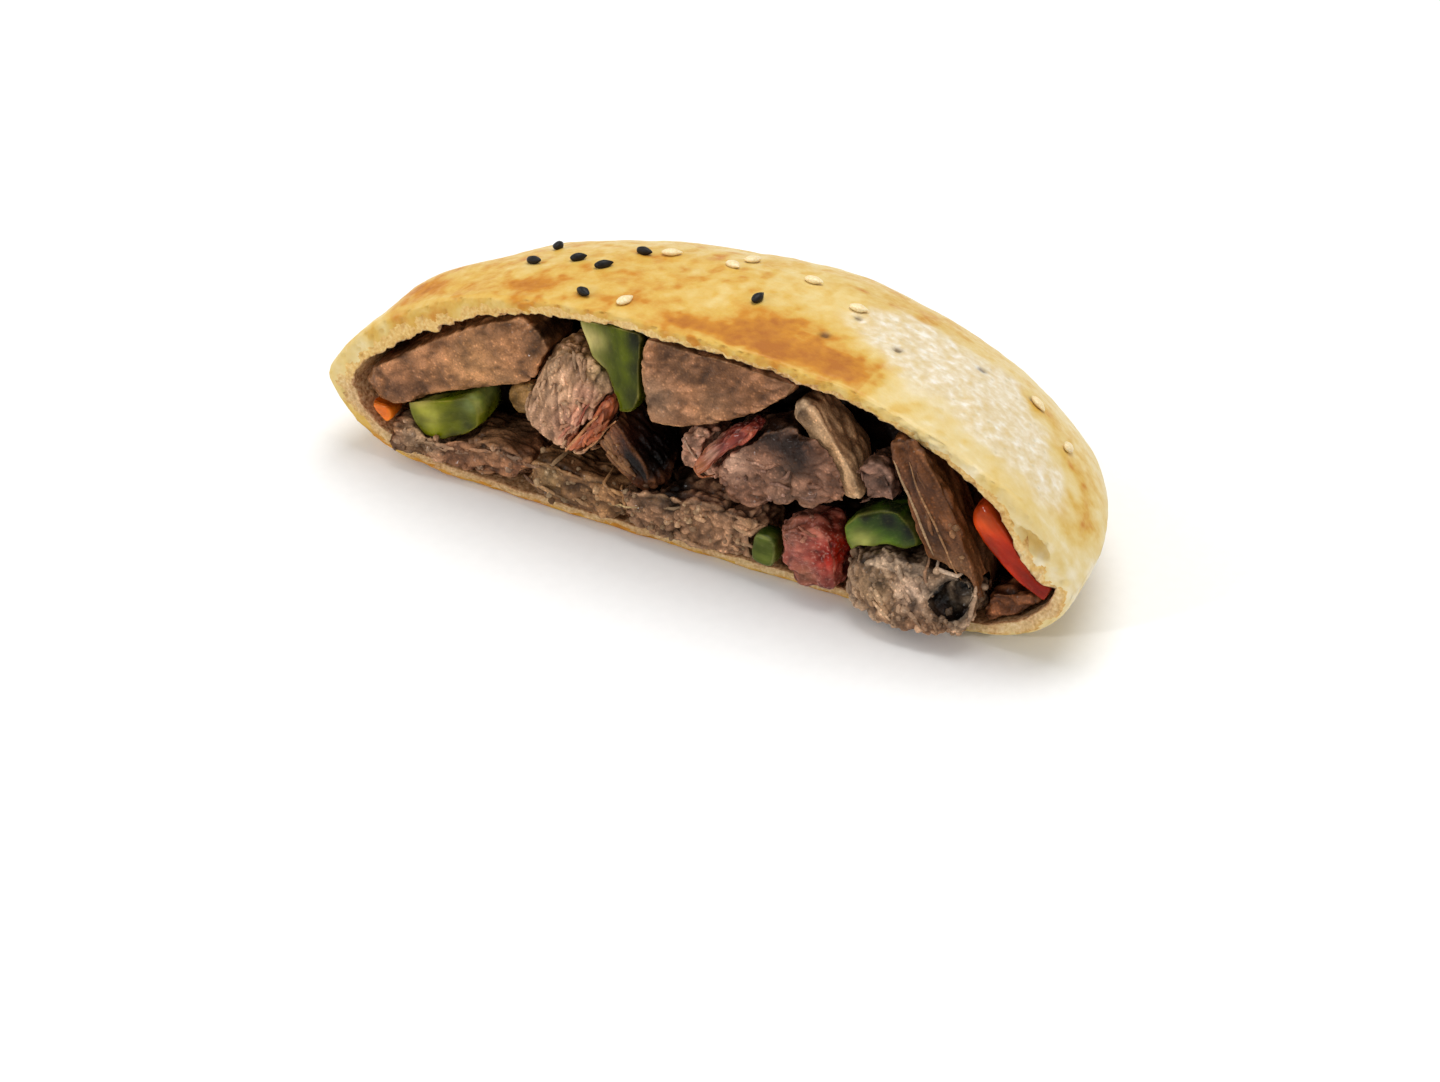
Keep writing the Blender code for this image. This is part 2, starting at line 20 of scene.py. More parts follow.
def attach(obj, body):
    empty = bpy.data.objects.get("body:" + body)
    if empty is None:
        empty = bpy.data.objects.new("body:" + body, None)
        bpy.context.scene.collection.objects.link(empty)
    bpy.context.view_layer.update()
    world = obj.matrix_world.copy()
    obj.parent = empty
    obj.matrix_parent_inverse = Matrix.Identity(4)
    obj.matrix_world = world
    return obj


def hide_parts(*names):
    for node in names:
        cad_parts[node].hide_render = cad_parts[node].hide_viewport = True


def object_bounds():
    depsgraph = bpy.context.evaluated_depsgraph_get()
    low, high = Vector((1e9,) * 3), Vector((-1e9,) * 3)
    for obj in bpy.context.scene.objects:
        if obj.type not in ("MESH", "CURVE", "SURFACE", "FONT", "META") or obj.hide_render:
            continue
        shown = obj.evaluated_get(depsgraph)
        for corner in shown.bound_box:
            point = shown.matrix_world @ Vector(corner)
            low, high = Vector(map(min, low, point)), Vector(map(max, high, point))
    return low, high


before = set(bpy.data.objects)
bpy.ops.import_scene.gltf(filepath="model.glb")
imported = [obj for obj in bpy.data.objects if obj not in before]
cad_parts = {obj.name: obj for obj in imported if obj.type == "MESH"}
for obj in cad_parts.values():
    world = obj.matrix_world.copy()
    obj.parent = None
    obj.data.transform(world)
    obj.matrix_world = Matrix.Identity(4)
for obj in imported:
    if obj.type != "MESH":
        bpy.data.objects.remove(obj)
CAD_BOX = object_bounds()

Tree = bpy.types.NodeTree
Socket = bpy.types.NodeSocket
Mesh = bpy.types.Mesh
Object = bpy.types.Object
# Layers of soft noise: the width of each in millimetres, its strength and its seed
Layers = tuple[tuple[float, float, float], ...]

MM = 0.001
QUARTER = math.pi / 2
BODY = "root"
PHOTO_WIDTH = 1440
log = logging.getLogger("lamb_liver_pie")


class Food(Enum):
    """The foods of the pie, each named as the record's slot that it takes its finish from."""

    CRUST = "crust"
    LIVER = "liver"
    CORE = "core"
    GREEN_PEPPER = "green_pepper"
    ORANGE_PEPPER = "orange_pepper"
    RED_PEPPER = "red_pepper"
    TOMATO = "tomato"


class Stored(Enum):
    """What a mesh keeps for each point: the attribute's type and the field that holds it."""

    NUMBER = ("FLOAT", "value")
    COLOUR = ("FLOAT_COLOR", "color")
    PLACE = ("FLOAT_VECTOR", "vector")


class Zone(IntEnum):
    """The three parts of the bread's surface."""

    SKIN = 0
    CUT = 1
    POCKET = 2


# Colour, noise and mesh helpers


def linear(code: str) -> tuple[float, float, float, float]:
    """Turns an sRGB hex colour to linear light.

    Args:
        code: The colour as six hex digits.

    Returns:
        Linear red, green and blue, and an alpha of 1.
    """
    values = [int(code[i : i + 2], 16) / 255 for i in (0, 2, 4)]
    parts = [v / 12.92 if v <= 0.04045 else ((v + 0.055) / 1.055) ** 2.4 for v in values]
    return (parts[0], parts[1], parts[2], 1.0)


def colour(code: str) -> np.ndarray:
    """Linear red, green and blue of a hex colour."""
    return np.array(linear(code)[:3])


def add(tree: Tree, kind: str, out: str | int, links: dict | None = None, **settings) -> Socket:
    """Adds a shader node with its settings and links.

    Some inputs go by number. A MapRange takes a value (0), the range that it comes in (1, 2) and
    the range that it leaves in (3, 4). A Mix of colours takes a share (0) and two colours (6, 7).

    Args:
        tree: The material's node tree.
        kind: The node's type without its ShaderNode prefix.
        out: The output that is used, by name or number.
        links: What each input takes, by name or number: an output socket or a plain value.
        settings: The node's own properties. A ramp takes stops, as (place, hex colour) pairs.

    Returns:
        The output's socket.
    """
    node = tree.nodes.new("ShaderNode" + kind)
    stops = settings.pop("stops", ())
    for name, value in settings.items():
        setattr(node, name, value)
    for name, value in (links or {}).items():
        if isinstance(value, Socket):
            tree.links.new(value, node.inputs[name])
        else:
            node.inputs[name].default_value = value
    for number, (place, code) in enumerate(stops):
        ramp = node.color_ramp.elements
        stop = ramp[number] if number < len(ramp) else ramp.new(place)
        stop.position = place
        stop.color = linear(code)
    return node.outputs[out]


def swing(tree: Tree, base: Socket, texture: Socket, amount: float) -> Socket:
    """Adds a texture's swing about its middle to a value.

    Args:
        tree: The material's node tree.
        base: The value.
        texture: The texture, from 0 to 1.
        amount: How far the value swings, from end to end.

    Returns:
        The sum.
    """
    centred = add(tree, "Math", 0, {0: texture, 1: 0.5}, operation="SUBTRACT")
    return add(tree, "Math", 0, {0: centred, 1: amount, 2: base}, operation="MULTIPLY_ADD")


def per_mm(size: float) -> float:
    """The texture scale that makes a pattern's marks this many millimetres apart."""
    return 1.0 / (size * MM)


def noise_places(points: np.ndarray, size: float, seed: float) -> list[Vector]:
    """Points in units of a pattern's size, moved so that pieces differ.

    Args:
        points: Places in metres, one row each.
        size: How far apart the pattern's lumps are, in metres.
        seed: How far the pattern is moved.

    Returns:
        The places to take the noise at.
    """
    shift = Vector((seed, 1.7 * seed, -0.6 * seed))
    return [Vector(place) + shift for place in (points / size).tolist()]


def smooth(points: np.ndarray, size: float, seed: float = 0.0) -> np.ndarray:
    """Soft noise over points, from about -1 to 1, in lumps of a size in metres."""
    return np.array([noise.noise(place) for place in noise_places(points, size, seed)])


def grains(points: np.ndarray, size: float, seed: float = 0.0) -> np.ndarray:
    """Round grains packed together over points: 1 in the middle of each, towards 0 between."""
    near = [noise.voronoi(place)[0][0] for place in noise_places(points, size, seed)]
    return np.clip(1.0 - np.array(near) ** 2, 0.0, 1.0)


def layered(points: np.ndarray, layers: Layers, start: float = 0.0) -> np.ndarray:
    """The sum of a start value and some layers of soft noise, for each point."""
    return sum((amount * smooth(points, size * MM, seed) for size, amount, seed in layers), start)


def step_up(values: np.ndarray, low: float, high: float) -> np.ndarray:
    """A soft step from 0 below low to 1 above high."""
    share = np.clip((values - low) / (high - low), 0.0, 1.0)
    return share * share * (3.0 - 2.0 * share)


def window(values: np.ndarray, rise: tuple[float, float], fall: tuple[float, float]) -> np.ndarray:
    """A soft step up over the first span and down again over the second."""
    return step_up(values, *rise) * (1 - step_up(values, *fall))


def hump(*gaps: np.ndarray) -> np.ndarray:
    """A soft hump: 1 where every gap is 0, and next to nothing where one of them passes 2."""
    return np.exp(-sum(gap**2 for gap in gaps))


def blend(first: np.ndarray, second: np.ndarray, share: np.ndarray) -> np.ndarray:
    """Mixes two colours, or rows of colours, by a share for each row."""
    return first + (second - first) * share[:, None]


def even_steps(count: int, start: float, stop: float, place: Callable) -> np.ndarray:
    """Parameter values that space points evenly along a curve.

    Args:
        count: How many values.
        start: The first value.
        stop: The last value.
        place: Gives the curve's point for a value.

    Returns:
        The values, from start to stop.
    """
    samples = 600
    values = np.linspace(start, stop, samples)
    points = np.array([place(value) for value in values])
    run = np.concatenate(([0.0], np.cumsum(np.linalg.norm(np.diff(points, axis=0), axis=1))))
    return np.interp(np.linspace(0.0, run[-1], count), run, values)


def mesh_arrays(mesh: Mesh) -> tuple[np.ndarray, np.ndarray]:
    """Reads a mesh's points.

    Args:
        mesh: The mesh.

    Returns:
        Their places and their normals, one row each.
    """
    places, normals = np.empty((2, len(mesh.vertices) * 3))
    mesh.vertices.foreach_get("co", places)
    mesh.vertices.foreach_get("normal", normals)
    return places.reshape(-1, 3), normals.reshape(-1, 3)


def set_places(mesh: Mesh, places: np.ndarray) -> None:
    """Moves a mesh's points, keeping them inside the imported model's box.

    Args:
        mesh: The mesh.
        places: The new places, one row each.
    """
    low, high = (np.array(corner) for corner in CAD_BOX)
    mesh.vertices.foreach_set("co", np.clip(places, low, high).ravel())
    mesh.update()


def store(mesh: Mesh, name: str, values: np.ndarray, kind: Stored = Stored.NUMBER) -> None:
    """Stores a number, a colour or a place for each point of a mesh.

    Args:
        mesh: The mesh.
        name: What the material calls it.
        values: One number each, or one row each.
        kind: What they are.
    """
    if kind is Stored.COLOUR:
        values = np.column_stack((values, np.ones(len(values))))
    data_type, data_field = kind.value
    mesh.attributes.new(name, data_type, "POINT").data.foreach_set(data_field, values.ravel())


def new_piece(name: str, mesh: Mesh, *materials: bpy.types.Material) -> Object:
    """Makes a shown object from a mesh, shaded smooth.

    Args:
        name: The object's name.
        mesh: Its mesh.
        materials: Its materials, in the order of the mesh's slots.

    Returns:
        The object.
    """
    for material in materials:
        mesh.materials.append(material)
    mesh.shade_smooth()
    obj = bpy.data.objects.new(name, mesh)
    bpy.context.scene.collection.objects.link(obj)
    return obj


def set_out(obj: Object, nodes: tuple[str, ...] = ()) -> Object:
    """Puts a finished piece on the pie's body and reports it.

    Args:
        obj: The piece.
        nodes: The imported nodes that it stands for.

    Returns:
        The piece.
    """
    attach(obj, BODY)
    if nodes:
        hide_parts(*nodes)
    obj.data.calc_loop_triangles()
    log.info("%s: %d triangles", obj.name, len(obj.data.loop_triangles))
    return obj


# Finishes


@dataclass(frozen=True)
class Finish:
    """What every finish states. Single values are those of the shader's own sockets."""

    name: str
    ior: float = 1.45
    gloss: float = 0.5
    coat: float = 0.0
    coat_roughness: float = 0.3
    soft: float = 0.0
    soft_mm: float = 1.0
    soft_radius: tuple[float, float, float] = (1.0, 0.55, 0.3)
    noise_spread: tuple[float, float] = (0.3, 0.7)
    rough: tuple[float, float] = (0.4, 0.6)
    relief: float = 0.4
    relief_mm: float = 0.1

    def surface(self, tree: Tree) -> dict[str, Socket]:
        """The shader inputs that vary over the surface.

        Args:
            tree: The material's node tree, to add nodes to.

        Returns:
            Input names with the sockets that feed them.
        """
        raise NotImplementedError

    def inputs(
        self, tree: Tree, tone: Socket, wear: Socket, height: Socket, span: tuple = ()
    ) -> dict[str, Socket]:
        """The inputs that most finishes feed: colour, roughness and a fine relief.

        Args:
            tree: The material's node tree.
            tone: The colour.
            wear: What the roughness follows.
            height: What the relief follows.
            span: The range that wear runs over, where it isn't a noise texture.

        Returns:
            Input names with the sockets that feed them.
        """
        low, high = span or self.noise_spread
        rough = add(tree, "MapRange", 0, {0: wear, 1: low, 2: high, 3: self.rough[0], 4: self.rough[1]})
        depth = {"Strength": self.relief, "Distance": self.relief_mm * MM, "Height": height}
        return {"Base Color": tone, "Roughness": rough, "Normal": add(tree, "Bump", 0, depth)}

    def material(self) -> bpy.types.Material:
        """Makes the finish's material once, and finds it again after that.

        Returns:
            The material.
        """
        found = bpy.data.materials.get(self.name)
        if found:
            return found
        made = bpy.data.materials.new(self.name)
        made.use_nodes = True
        shader = made.node_tree.nodes["Principled BSDF"]
        for name, value in (
            ("IOR", self.ior),
            ("Specular IOR Level", self.gloss),
            ("Coat Weight", self.coat),
            ("Coat Roughness", self.coat_roughness),
            ("Subsurface Weight", self.soft),
            ("Subsurface Radius", self.soft_radius),
            ("Subsurface Scale", self.soft_mm * MM),
        ):
            shader.inputs[name].default_value = value
        for name, socket in self.surface(made.node_tree).items():
            made.node_tree.links.new(socket, shader.inputs[name])
        return made


@dataclass(frozen=True)
class BakedCrust(Finish):
    """Wheat crust brushed before baking: a thin glossy skin, cream where the heat was low."""

    heat: tuple = (
        (0.00, "ECDFC0"),
        (0.20, "E2CC94"),
        (0.40, "DDC078"),
        (0.58, "D5AC50"),
        (0.78, "C68320"),
        (1.00, "AC6618"),
    )
    # The pale patch's tones: a dusting, whitened towards a painted highlight
    flour_sheen_tones: tuple = ((0.30, "D8C08E"), (0.44, "DECBA4"), (0.56, "E6D8BC"), (0.70, "F2ECDE"))
    pore: str = "B4AC8C"
    scorch: str = "4E3214"
    broad_mm: float = 3.6
    blotch_mm: float = 1.5
    fine_mm: float = 0.7
    blister_mm: float = 1.7
    # Real pores are too fine to show, so they are drawn coarser
    pore_mm: float = 0.35
    broad_swing: float = 0.36
    fine_swing: float = 0.16
    rough: tuple[float, float] = (0.36, 0.56)
    relief: float = 0.30
    relief_mm: float = 0.12

    def surface(self, tree: Tree) -> dict[str, Socket]:
        """Heat colours, a pale dusted patch with a painted highlight, fine mottle, pores, small relief.

        Args:
            tree: The material's node tree.

        Returns:
            Input names with the sockets that feed them.
        """
        place = add(tree, "TexCoord", "Object")
        bake, pale, speck = (
            add(tree, "Attribute", "Fac", attribute_name=name) for name in ("bake", "pale", "speck")
        )
        broad, blotch, fine, pores = (
            add(tree, "TexNoise", "Fac", {"Vector": place, "Scale": per_mm(size), "Detail": detail})
            for size, detail in (
                (self.broad_mm, 5.0), (self.blotch_mm, 6.0), (self.fine_mm, 3.0), (self.pore_mm, 2.0)
            )
        )
        cells = add(tree, "TexVoronoi", "Distance", {"Vector": place, "Scale": per_mm(self.blister_mm)})
        heat = swing(tree, swing(tree, bake, broad, self.broad_swing), fine, self.fine_swing)
        skin = add(tree, "ValToRGB", "Color", {"Fac": heat}, stops=self.heat)
        flour_sheen_tones = add(tree, "ValToRGB", "Color", {"Fac": blotch}, stops=self.flour_sheen_tones)
        hole = add(tree, "MapRange", 0, {0: cells, 1: 0.06, 2: 0.20, 3: 0.35, 4: 0.0})
        pored = add(tree, "Mix", 2, {0: hole, 6: flour_sheen_tones, 7: linear(self.pore)}, data_type="RGBA")
        # The pale patch: partly a dusting, partly a painted highlight
        flour_sheened = add(tree, "Mix", 2, {0: pale, 6: skin, 7: pored}, data_type="RGBA")
        tone = add(tree, "Mix", 2, {0: speck, 6: flour_sheened, 7: linear(self.scorch)}, data_type="RGBA")
        return self.inputs(tree, tone, fine, swing(tree, pores, cells, 0.5))


@dataclass(frozen=True)
class BreadCrumb(Finish):
    """Torn wheat crumb at the cut: matt and open, toasted at the skin and stained by the gravy."""

    dry: tuple = ((0.25, "D8B47C"), (0.50, "E8CC96"), (0.75, "F2DFB2"))
    toasted: tuple = ((0.25, "C99648"), (0.50, "DFB465"), (0.75, "EACB88"))
    stain: tuple = ((0.30, "8A5C38"), (0.50, "B98A5E"), (0.70, "D6AE84"))
    broad_mm: float = 3.0
    hole_mm: float = 0.8
    # Real crumb is grained too finely to show, so it is drawn coarser
    fine_mm: float = 0.5
    broad_swing: float = 0.8
    rough: tuple[float, float] = (0.85, 0.5)
    relief: float = 0.6
    relief_mm: float = 0.2

    def surface(self, tree: Tree) -> dict[str, Socket]:
        """Cream crumb with small holes, toasted places and stains, less rough where it is wet.

        Args:
            tree: The material's node tree.

        Returns:
            Input names with the sockets that feed them.
        """
        place = add(tree, "TexCoord", "Object")
        fine, broad = (
            add(tree, "TexNoise", "Fac", {"Vector": place, "Scale": per_mm(size), "Detail": detail})
            for size, detail in ((self.fine_mm, 4.0), (self.broad_mm, 3.0))
        )
        cells = add(tree, "TexVoronoi", "Distance", {"Vector": place, "Scale": per_mm(self.hole_mm)})
        tone = add(tree, "ValToRGB", "Color", {"Fac": fine}, stops=self.dry)
        for name, stops in (("toast", self.toasted), ("wet", self.stain)):
            amount = add(tree, "Attribute", "Fac", attribute_name=name)
            share = add(tree, "Clamp", 0, {"Value": swing(tree, amount, broad, self.broad_swing)})
            over = add(tree, "ValToRGB", "Color", {"Fac": fine}, stops=stops)
            tone = add(tree, "Mix", 2, {0: share, 6: tone, 7: over}, data_type="RGBA")
        return self.inputs(tree, tone, share, swing(tree, fine, cells, 1.2), span=(0.0, 1.0))


@dataclass(frozen=True)
class CookedLiver(Finish):
    """Stewed liver: dense and grainy, moist enough to glint on each grain; some grains carry painted
    highlights.
    """

    speck: str = "241209"
    vein_mm: float = 1.8
    film_mm: float = 0.9
    # Liver's real grain is too fine to show, so both sizes of it are drawn coarser
    grain_mm: float = 0.45
    fine_mm: float = 0.28
    film_depth_mm: float = 0.5
    rough: tuple[float, float] = (0.28, 0.6)
    relief: float = 0.5
    relief_mm: float = 0.14

    def surface(self, tree: Tree) -> dict[str, Socket]:
        """The piece's own tone, with darker veins, painted highlights on some grains and a wavy wet film.

        Args:
            tree: The material's node tree.

        Returns:
            Input names with the sockets that feed them.
        """
        along = add(tree, "Attribute", "Vector", attribute_name="along")
        tone = add(tree, "Attribute", "Color", attribute_name="tone")
        place = add(tree, "TexCoord", "Object")
        vein, fine, film = (
            add(tree, "TexNoise", "Fac", {"Vector": where, "Scale": per_mm(size), "Detail": detail})
            for where, size, detail in (
                (along, self.vein_mm, 4.0), (place, self.fine_mm, 2.0), (place, self.film_mm, 1.0)
            )
        )
        cells = add(tree, "TexVoronoi", "Distance", {"Vector": place, "Scale": per_mm(self.grain_mm)})
        # Painted highlights: grains picked at random are brightened to round pale dots
        pick = add(tree, "RGBToBW", 0, {0: cells.node.outputs["Color"]})
        painted_glint_pick = add(tree, "MapRange", 0, {0: pick, 1: 0.62, 2: 0.80, 3: 0.0, 4: 0.9})
        middle = add(tree, "MapRange", 0, {0: cells, 1: 0.1, 2: 0.6, 3: 1.0, 4: 0.0})
        bright = add(tree, "MapRange", 0, {0: fine, 1: 0.3, 2: 0.7, 3: 0.72, 4: 1.12})
        value = add(tree, "Math", 0, {0: painted_glint_pick, 1: middle, 2: bright}, operation="MULTIPLY_ADD")
        shaded = add(tree, "HueSaturation", 0, {"Color": tone, "Value": value})
        dark = add(tree, "MapRange", 0, {0: vein, 1: 0.50, 2: 0.74, 3: 0.0, 4: 0.65})
        grained = add(tree, "Mix", 2, {0: dark, 6: shaded, 7: linear(self.speck)}, data_type="RGBA")
        depth = {"Strength": 1.0, "Distance": self.film_depth_mm * MM, "Height": film}
        fed = self.inputs(tree, grained, vein, swing(tree, fine, cells, 1.0))
        return fed | {"Coat Normal": add(tree, "Bump", 0, depth)}


@dataclass(frozen=True)
class CookedVegetable(Finish):
    """Pepper or tomato after cooking: wet, slightly clear flesh under a taut glossy skin."""

    fleck: str = "C8C078"
    fleck_share: float = 0.10
    mottle_mm: float = 1.6
    fine_mm: float = 0.35
    rough: tuple[float, float] = (0.18, 0.38)
    relief: float = 0.3
    relief_mm: float = 0.1

    def surface(self, tree: Tree) -> dict[str, Socket]:
        """The piece's own tone, a little mottled, with pale flecks.

        Args:
            tree: The material's node tree.

        Returns:
            Input names with the sockets that feed them.
        """
        along = add(tree, "Attribute", "Vector", attribute_name="along")
        tone = add(tree, "Attribute", "Color", attribute_name="tone")
        mottle, fine = (
            add(tree, "TexNoise", "Fac", {"Vector": along, "Scale": per_mm(size), "Detail": detail})
            for size, detail in ((self.mottle_mm, 4.0), (self.fine_mm, 2.0))
        )
        bright = add(tree, "MapRange", 0, {0: mottle, 1: 0.3, 2: 0.7, 3: 0.72, 4: 1.25})
        shaded = add(tree, "HueSaturation", 0, {"Color": tone, "Value": bright})
        share = add(tree, "MapRange", 0, {0: fine, 1: 0.55, 2: 0.75, 3: 0.0, 4: self.fleck_share})
        flecked = add(tree, "Mix", 2, {0: share, 6: shaded, 7: linear(self.fleck)}, data_type="RGBA")
        return self.inputs(tree, flecked, mottle, fine)


@dataclass(frozen=True)
class DrySeed(Finish):
    """A dry seed's coat: finely wrinkled, with a dull gloss."""

    low: str = "050404"
    high: str = "1A1512"
    # Real wrinkles are too fine to show, so they are drawn coarser
    wrinkle_mm: float = 0.3
    relief: float = 0.4
    relief_mm: float = 0.05

    def surface(self, tree: Tree) -> dict[str, Socket]:
        """Two near tones and a wrinkled relief.

        Args:
            tree: The material's node tree.

        Returns:
            Input names with the sockets that feed them.
        """
        place = add(tree, "TexCoord", "Object")
        wrinkle = add(
            tree, "TexNoise", "Fac", {"Vector": place, "Scale": per_mm(self.wrinkle_mm), "Detail": 3.0}
        )
        stops = ((0.35, self.low), (0.65, self.high))
        tone = add(tree, "ValToRGB", "Color", {"Fac": wrinkle}, stops=stops)
        return self.inputs(tree, tone, wrinkle, wrinkle)


@dataclass(frozen=True)
class PaperSweep(Finish):
    """Matt white background paper, which shows nothing but the soft shadow."""

    tone: tuple = ((0.3, "F6F6F5"), (0.7, "F8F8F7"))
    # Real fibres are too fine to show, so they are drawn much coarser
    fibre_mm: float = 2.0
    rough: tuple[float, float] = (0.8, 0.9)

    def surface(self, tree: Tree) -> dict[str, Socket]:
        """White with the faintest unevenness, and flat.

        Args:
            tree: The material's node tree.

        Returns:
            Input names with the sockets that feed them.
        """
        place = add(tree, "TexCoord", "Object")
        fibre = add(tree, "TexNoise", "Fac", {"Vector": place, "Scale": per_mm(self.fibre_mm)})
        tone = add(tree, "ValToRGB", "Color", {"Fac": fibre}, stops=self.tone)
        rough = add(tree, "MapRange", 0, {0: fibre, 1: 0.0, 2: 1.0, 3: self.rough[0], 4: self.rough[1]})
        return {"Base Color": tone, "Roughness": rough}


# Wheat dough brushed before the oven: the eye sees dry gold with a faint broad sheen
CRUST = BakedCrust("baked_wheat_crust", gloss=0.3, coat=0.1, coat_roughness=0.3, soft=0.06, soft_mm=1.2)
# Torn crumb: no gloss, and soft at its edges, because some light goes into it
CRUMB = BreadCrumb("torn_bread_crumb", ior=1.4, gloss=0.2, soft=0.15, soft_mm=1.2)
# Liver stewed in its juice: dull brown, with the small sharp glints of a wet film
LIVER = CookedLiver("stewed_liver", ior=1.4, gloss=0.1, coat=0.22, coat_roughness=0.12)
# The imported filling behind the pieces, with hardly a glint; its piece's dark tones are painted shade
CORE = CookedLiver("packed_filling", ior=1.4, gloss=0.1, coat=0.05)
# Green pepper cooked soft: an olive flesh under a thin wet skin with narrow highlights
GREEN = CookedVegetable(
    "cooked_green_pepper", ior=1.36, gloss=0.1, coat=0.16, coat_roughness=0.1, soft=0.04, fleck_share=0.04
)
# Orange pepper: clearer flesh that glows a little, under a broader sheen
ORANGE = CookedVegetable(
    "cooked_orange_pepper", ior=1.36, gloss=0.3, coat=0.2, coat_roughness=0.2, soft=0.15
)
# Red pepper, skin side out: a deep even red with one narrow highlight
RED = CookedVegetable(
    "cooked_red_pepper", ior=1.36, gloss=0.12, coat=0.16, coat_roughness=0.12, soft=0.08, fleck_share=0.03
)
# Tomato stewed to a pulp: red in places, pinkish where the flesh is torn, wet all over
TOMATO = CookedVegetable(
    "stewed_tomato", ior=1.36, gloss=0.15, coat=0.2, coat_roughness=0.15, soft=0.1,
    fleck="D8A08C", fleck_share=0.45, mottle_mm=0.9,
)
# Nigella: a dull seed coat that reads as black, with a grey edge where the light grazes it
NIGELLA = DrySeed("nigella_seed_coat", gloss=0.35)
# Hulled sesame: cream and slightly clear, a little shinier for its oil
SESAME = DrySeed(
    "hulled_sesame_coat", ior=1.47, soft=0.1, soft_mm=0.5, low="E6CC94", high="F3E2B8", rough=(0.3, 0.45)
)
# Background paper: matt white that takes the soft shadow
PAPER = PaperSweep("white_background_paper")

FINISHES = {
    Food.LIVER: LIVER,
    Food.CORE: CORE,
    Food.GREEN_PEPPER: GREEN,
    Food.ORANGE_PEPPER: ORANGE,
    Food.RED_PEPPER: RED,
    Food.TOMATO: TOMATO,
}


# The bread


